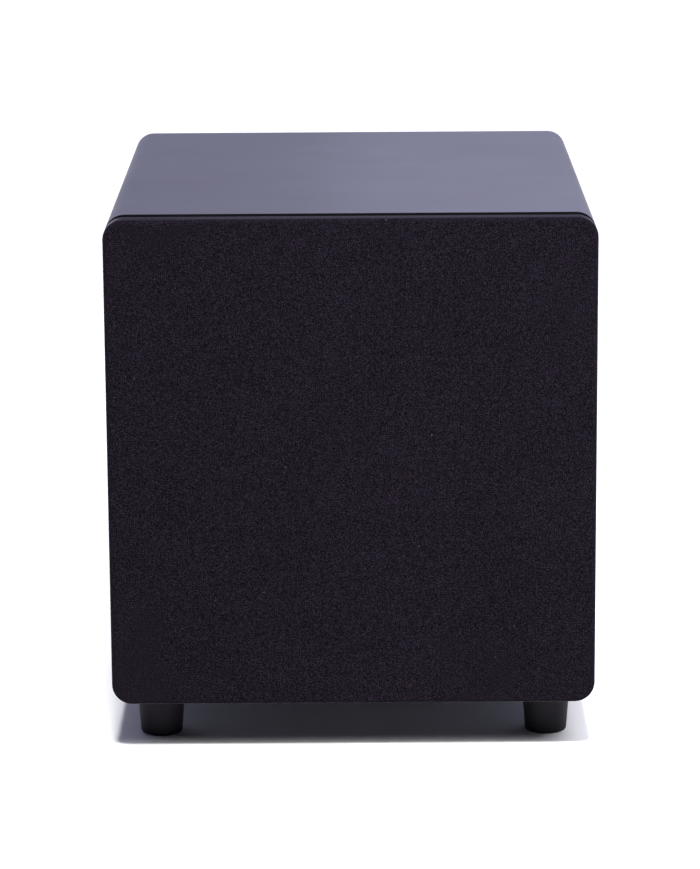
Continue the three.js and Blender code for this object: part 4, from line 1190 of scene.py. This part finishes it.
def make_power_board():
    """The amplifier's board: reservoir capacitors, a relay, a rectifier plate and smaller parts."""
    node = size_of("power_board")
    low = node.low.z
    top = low + 1.6 * MM

    def above(x, y, height):
        """A point over the board, in millimetres."""
        return Vector((x * MM, FRONT + y * MM, top + height * MM))

    shape = block(node.low, (node.high.x, node.high.y, top), 0.15 * MM)
    put("power_circuit_board", shape, CIRCUIT_BOARD, "power_board")

    cans = []
    for x, y, radius, tall in ((22, 276, 11, 30), (48, 276, 11, 30), (72, 270, 6, 18)):
        sleeve = [(0, 0.8), (radius, 0.8), (radius, 3.6), (radius - 0.5, 4.1), (radius, 4.6), (radius, tall)]
        sleeve += [(radius - 1.2, tall), (radius - 1.4, tall - 0.5), (0, tall - 0.5)]
        smooth = rounded([(r * MM, h * MM) for r, h in sleeve], 0.4 * MM)
        cans.append(moved(upright(turn(smooth, 48)), x * MM, FRONT + y * MM, low))
    put("power_capacitors", together(*cans), BLACK_PLASTIC)

    relay, rectifier = bar(above(76, 288, 7.6), (20, 16, 15), 0.8), bar(above(48, 300, 4.6), (12, 9, 9), 0.6)
    put("power_board_parts", together(relay, rectifier), LEAD_BLACK)
    put("rectifier_plate", bar(above(20, 300, 11.6), (30, 3, 23)), ALUMINIUM)
    put("power_resistors", together(*resistors(above(40, 318, 1.2))), TERMINAL_BOARD)


def make_transformer():
    """A toroid wrapped in overlapping tape, clamped by a dished washer and a bolt through its bore."""
    node = size_of("power_transformer")
    radius, thick, bore, soft, inner, laps = node.radius / MM, node.depth / MM, 12, 8, 5, 36
    ring = arc(radius - soft, soft, soft, -90, 0, 10) + arc(radius - soft, thick - soft, soft, 0, 90, 10)
    ring += arc(bore + inner, thick - inner, inner, 90, 180, 8)
    ring += arc(bore + inner, inner, inner, 180, 270, 8)

    def taped(reach, y, angle):
        lap = (laps * angle / math.tau + 12 * y) % 1.0
        return reach - 0.35 * MM * lap

    origin = Vector((node.centre.x, node.front, node.centre.z))
    shape = spun(ring, origin, 0.1, laps * 6, taped)
    put("taped_toroid", shape, WINDING_TAPE, "power_transformer")
    washer = [(0, -3.2), (4, -3.2), (4, -0.9), (24, -0.9), (25.5, 0), (11.5, 0), (11, 2), (3, 2)]
    washer += [(3, 33.6), (0, 33.6)]
    put("toroid_clamp", spun(washer, origin, 0.3, 64), STEEL)


FLUTES = 24


def fluted(radius, y, angle):
    """Draws a knob's grip in at the flutes round its side."""
    grip = 8.6 * MM < radius < 9.8 * MM
    return radius - 0.4 * MM * (0.5 + 0.5 * math.cos(FLUTES * angle)) ** 2 if grip else radius


def make_knobs():
    """Fluted knobs with a skirt and a white pointer, pressed on flatted shafts."""
    for control in ("volume", "crossover"):
        knob, shaft = size_of(f"{control}_knob"), size_of(f"{control}_shaft")
        body, slot = f"{control}_control", "black_plastic"
        length, dish = knob.depth / MM, 0.35
        profile = [(0, 9), (3.3, 9), (3.3, 0), (11, 0), (11, 2.4), (9.5, 3.2), (9.4, 4)]
        profile += [(9.2, 5 + k) for k in range(7)]
        profile += [(9, length - 1), (8, length), (7, length), (6.6, length - dish), (0, length - dish)]
        origin = Vector((knob.centre.x, knob.front, shaft.centre.z))
        shape = spun(profile, origin, 0.3, FLUTES * 8, fluted)
        put(f"{control}_grip", shape, KNOB_PLASTIC, f"{control}_knob", body)

        face = (origin.x, knob.back - dish * MM, origin.z)
        pointer = ranged(face, (-0.5, 0.5), (-0.05, 0.22), (2.4, 7.4), 0.08)
        put(f"{control}_pointer", pointer, PRINT, body=body)

        end = shaft.depth / MM
        rod = spun([(0, 0), (3, 0), (3, end), (0, end)], Vector((origin.x, shaft.front, origin.z)), 0.3, 40)
        flat = bar(Vector((origin.x, shaft.back - 4 * MM, origin.z + 3.4 * MM)), (8, 12, 2), 0.1)
        put(f"{control}_rod", carved(rod, flat), STEEL, f"{control}_shaft", body)


def make_sliders():
    """Switch levers with three grip ridges."""
    for switch in ("phase", "standby"):
        node = size_of(f"{switch}_slider")
        x, z, tip = node.centre.x, node.centre.z, node.back
        start = FRONT + 341 * MM
        lever = bar(Vector((x, (start + tip) / 2, z)), (3.6, (tip - FRONT) / MM - 341, 3.8))
        carrier = bar(Vector((x, node.front + 1.8 * MM, z)), (6, 3.6, 5), 0.3)
        grooves = [bar(Vector((x + aside * MM, tip, z)), (0.45, 0.8, 5), 0.1) for aside in (-0.9, 0, 0.9)]
        shape = carved(merged(lever, carrier), *grooves)
        put(f"{switch}_lever", shape, WHITE_PLASTIC, f"{switch}_slider", f"{switch}_switch")


def make_led():
    led, dome = size_of("status_led"), 2.4
    top = led.depth / MM
    profile = [(0, 0), (3, 0), (3, 2), (dome, 2), *arc(0, top - dome, dome, 0, 88, 10), (0, top)]
    shape = spun(profile, Vector((led.centre.x, led.front, led.centre.z)), 0.15, 40)
    put("status_lamp", shape, LED_LENS, "status_led")


def make_jacks():
    """Two coaxial sockets: a shared housing, plated barrels, and a coloured insulator in each."""
    node = size_of("line_jacks")
    x, z = node.centre.x, node.centre.z
    inside = AMP.front - 0.3 * MM
    housing = block((x - 18 * MM, node.front, z - 7.5 * MM), (x + 18 * MM, inside, z + 7.5 * MM), 0.8 * MM)
    put("jack_housing", housing, BLACK_PLASTIC, "line_jacks")
    barrel = [(3.2, -3), (5.2, -3), (5.2, 1.2), (4.4, 1.6), (4.4, 2.2), (4.1, 2.4), (4.1, 9), (3.7, 9.5)]
    barrel.append((3.2, 9.5))
    core = [(0, -3), (3.15, -3), (3.15, 8.7), (2.5, 9), (1.7, 8.7), (1.7, 1), (0, 1)]
    for side, offset, look in (("left", -9, WHITE_PLASTIC), ("right", 9, RED_PLASTIC)):
        origin = Vector((x + offset * MM, AMP.back, z))
        put(f"jack_barrel_{side}", spun(barrel, origin, 0.2, 56), NICKEL)
        put(f"jack_insulator_{side}", spun(core, origin, 0.15, 48), look)


def coupler_outline(width, height, cut, x, z):
    """An appliance inlet's outline: a rectangle with its two upper corners cut off, in millimetres."""
    half, up = width / 2, height / 2
    right = [(half, -up), (half, up - cut), (half - cut, up)]
    left = [(-px, pz) for px, pz in reversed(right)]
    return rounded([(x + px * MM, z + pz * MM) for px, pz in right + left], 1 * MM, closed=True)


def make_inlet():
    """A three-pin mains inlet over the slot of its fuse drawer."""
    x, z = 70 * MM, centre_of("power_inlet").z
    lip, proud = 0.3, 2.7
    face = AMP.back + proud * MM
    origin = (x, face, z)
    cavity = slab(coupler_outline(23.4, 15.4, 4, x, z + 5.5 * MM), face - 17 * MM, face + MM, 0.1 * MM)
    slot = ranged(origin, (-11.3, 11.3), (-20, 1), (-13.2, -6), 0.1)
    flange = slab(rectangle(48 * MM, 33 * MM, 4 * MM, x, z), AMP.back + lip * MM, face, 0.7 * MM)
    tub = ranged(origin, (-13.75, 13.75), (-24, 1 - proud), (-14.5, 14.5), 1)
    body = carved(merged(flange, tub), cavity, slot)
    put("mains_socket", body, BLACK_PLASTIC, "power_inlet")

    pins = []
    for px, pz in ((-7, 3.6), (0, 6.6), (7, 3.6)):
        pins.append(bar(Vector((x + px * MM, face - 16.6 * MM, z + pz * MM)), (2, 22.6, 4), 0.6))
    put("mains_pins", together(*pins), BRASS)
    heads = []
    for side in (-1, 1):
        heads.append(facing_back(screw(3, 1.6, 1.5, 7), x + side * 18.6 * MM, face + 1.5 * MM, z))
    put("inlet_screws", together(*heads), BLACK_STEEL)

    drawer_z = z - 9.6 * MM
    tray = bar(Vector((x, face - 8.65 * MM, drawer_z)), (21.8, 19.7, 6.4), 0.5)
    grip = bar(Vector((x, face + 1.5 * MM, drawer_z)), (6, 2.2, 1.8), 0.5)
    seat = bar(Vector((x, face - 10.5 * MM, drawer_z + 2 * MM)), (18, 13, 4.4))
    drawer = carved(merged(tray, grip), seat)
    put("fuse_holder", drawer, BLACK_PLASTIC, "fuse_drawer", "fuse_tray")


def make_rocker():
    """A mains rocker in its bezel, tipped to off at rest, with a plain white mark on its upper half."""
    centre = centre_of("rocker_bezel")
    x, z = centre.x, centre.z
    lip, proud = 0.3, 2.3
    face = AMP.back + proud * MM
    origin = (x, face, z)
    bezel = slab(rectangle(15.5 * MM, 21.5 * MM, 1.5 * MM, x, z), AMP.back + lip * MM, face, 0.6 * MM)
    tub = ranged(origin, (-6.35, 6.35), (-17, 1 - proud), (-9.35, 9.35))
    well = ranged(origin, (-5.45, 5.45), (-13, 1), (-8.55, 8.55), 0.2)
    put("switch_bezel", carved(merged(bezel, tub), well), BLACK_PLASTIC, "rocker_bezel")

    half, wide, chamfer, shrink = 7.65, 9.9, 0.35, 0.25
    upper = [(half - 1.2, -3.5), (half, 4.6), (0.6 * half, 3.5)]
    outline = upper + [(0, 3)] + [(-across, out) for across, out in reversed(upper)]
    smooth = rounded([(across * MM, out * MM) for across, out in outline], 0.6 * MM, closed=True)
    loops = []
    stations = ((-wide / 2, shrink), (chamfer - wide / 2, 0), (wide / 2 - chamfer, 0), (wide / 2, shrink))
    for px, inward in stations:
        scale = 1 - inward / half
        loops.append([(px * MM, out * scale, across * scale) for across, out in smooth])
    pivot = Matrix.Translation((x, face - 4 * MM, z))
    tipped = pivot @ Matrix.Rotation(math.radians(-8), 4, "X")
    rocker = placed(loft(loops), tipped)
    put("switch_rocker", rocker, BLACK_PLASTIC, "power_rocker", "mains_rocker")
    mark = placed(ranged((0, 0, 0), (-0.35, 0.35), (3.95, 4.15), (3.6, 6.2), 0.06), tipped)
    put("rocker_mark", mark, PRINT, body="mains_rocker")


# ---- Wadding ------------------------------------------------------------------------------------


def make_wadding():
    """A soft batt along both sides and under the top, swollen and uneven between its staples."""
    node = size_of("damping_wadding")
    thick, over, inset = 14 * MM, 9 * MM, 1.5 * MM
    left, right, bottom, top = node.low.x + inset, node.high.x - inset, node.low.z, node.high.z - inset
    side, under = thick - 2 * inset, over - inset
    outline = [(left, bottom), (left, top), (right, top), (right, bottom), (right - side, bottom)]
    outline += [(right - side, top - under), (left + side, top - under), (left + side, bottom)]
    shape = slab(rounded(outline, 4 * MM, closed=True), node.front + inset, node.back - inset, 1 * MM)
    piece = as_object("wadding_batt", shape, WADDING)
    apply(piece, "REMESH", mode="VOXEL", voxel_size=4 * MM)
    swell(piece, 1.2 * MM)
    for vertex in piece.data.vertices:
        lump = noise.noise(vertex.co * 45) + 0.5 * noise.noise(vertex.co * 140)
        vertex.co -= vertex.normal * 0.7 * MM * (1 + lump)
    apply(piece, "SUBSURF", levels=1)
    finish_shading(piece)
    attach(piece, "cabinet")
    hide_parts("damping_wadding")


def swell(piece, most):
    """Puffs a soft piece with a short cloth simulation, and lets no point move further than most."""
    before = np.array([vertex.co for vertex in piece.data.vertices])
    cloth = piece.modifiers.new("cloth", "CLOTH")
    cloth.settings.use_pressure = True
    cloth.settings.uniform_pressure_force = 4
    cloth.settings.effector_weights.gravity = 0
    scene = bpy.context.scene
    for step in range(1, 21):
        scene.frame_set(step)
    evaluated = piece.evaluated_get(bpy.context.evaluated_depsgraph_get())
    after = np.array([vertex.co for vertex in evaluated.data.vertices])
    piece.modifiers.remove(cloth)
    scene.frame_set(1)
    move = after - before
    length = np.linalg.norm(move, axis=1, keepdims=True)
    move *= np.minimum(1.0, most / np.maximum(length, 1e-9))
    piece.data.vertices.foreach_set("co", (before + move).ravel())


# ---- Studio -------------------------------------------------------------------------------------


def make_floor():
    look = noisy("studio_floor", grey(0.85), 0.55, 3, (grey(0.83), grey(0.87)), 3)
    shape = bmesh.new()
    bmesh.ops.create_grid(shape, x_segments=1, y_segments=1, size=12)
    as_object("studio_floor", shape, look)


def make_world():
    """Soft light from all round: bright and bluish behind the object, dim in front of it."""
    world = bpy.data.worlds.new("studio")
    bpy.context.scene.world = world
    world.use_nodes = True
    nodes, links = world.node_tree.nodes, world.node_tree.links
    parts = nodes.new("ShaderNodeSeparateXYZ")
    links.new(nodes.new("ShaderNodeTexCoord").outputs["Generated"], parts.inputs[0])
    ramp = nodes.new("ShaderNodeMapRange")
    ramp.interpolation_type = "SMOOTHSTEP"
    links.new(parts.outputs["Y"], ramp.inputs["Value"])
    for name, value in (("From Min", -0.3), ("From Max", 0.8), ("To Min", 0.04), ("To Max", 0.92)):
        ramp.inputs[name].default_value = value
    background = nodes["Background"]
    background.inputs["Color"].default_value = (0.7, 0.7, 1.0, 1)
    links.new(ramp.outputs["Result"], background.inputs["Strength"])


def add_light(name, kind, place, target, energy, **settings):
    light = bpy.data.lights.new(name, kind)
    light.energy = energy
    for key, value in settings.items():
        setattr(light, key, value)
    lamp = bpy.data.objects.new(name, light)
    lamp.location = place
    lamp.rotation_euler = (Vector(target) - Vector(place)).to_track_quat("-Z", "Y").to_euler()
    bpy.context.scene.collection.objects.link(lamp)


def make_lights():
    """A distant key light, high in front, whitens the floor and drops the shadow straight under the box.

    A bluish panel behind the object, more to the right, adds to the vinyl's satin reflection, and a softbox
    in front, above and to the right, makes the cloth a little brighter at its top right.
    """
    elevation = math.radians(63)
    key = (0, -3 * math.cos(elevation), 3 * math.sin(elevation))
    add_light("key", "SUN", key, (0, 0, 0), 4.1, angle=math.radians(7))
    width, height, left, low, behind = 1.8, 1.0, -0.02, 0.56, 1.1
    x, z = left + width / 2, low + height / 2
    panel = {"shape": "RECTANGLE", "size": width, "size_y": height, "color": (0.68, 0.68, 1.0)}
    add_light("back_panel", "AREA", (x, behind, z), (x, 0, z), 3.6, **panel)
    add_light("front_softbox", "AREA", (0.6, -0.75, 1.15), WOOFER_AXIS, 20, shape="SQUARE", size=0.7)


def add_camera():
    """The camera stands a little above the box and looks down at it, level and almost square on."""
    pitch, yaw, roll = math.radians(13.0), math.radians(-0.115), math.radians(-0.384)
    data = bpy.data.cameras.new("camera")
    data.sensor_fit = "VERTICAL"
    data.sensor_height = 36
    data.lens = 150.75
    data.clip_end = 100
    camera = bpy.data.objects.new("camera", data)
    forward = Vector((math.sin(yaw) * math.cos(pitch), math.cos(yaw) * math.cos(pitch), -math.sin(pitch)))
    level = Vector((math.cos(yaw), -math.sin(yaw), 0))
    above = level.cross(forward)
    right = math.cos(roll) * level + math.sin(roll) * above
    up = math.cos(roll) * above - math.sin(roll) * level
    aim = Matrix((right, up, -forward)).transposed().to_4x4()
    camera.matrix_world = Matrix.Translation((0.0033, -2.3569, 0.7026)) @ aim
    bpy.context.scene.collection.objects.link(camera)
    bpy.context.scene.camera = camera


add_camera()
make_shell()
make_baffle()
make_rear_board()
make_brace()
make_port()
make_feet()
make_grille_frame()
make_grille_cloth()
make_pegs()
make_basket()
make_woofer_screws()
make_suspension()
make_cone()
make_coil()
make_motor()
make_terminals()
make_speaker_lead()
make_amp_panel()
make_panel_marks()
make_heat_sink()
make_control_board()
make_power_board()
make_transformer()
make_knobs()
make_sliders()
make_led()
make_jacks()
make_inlet()
make_rocker()
make_wadding()
make_floor()
make_world()
make_lights()
bpy.context.scene.view_settings.view_transform = "Standard"
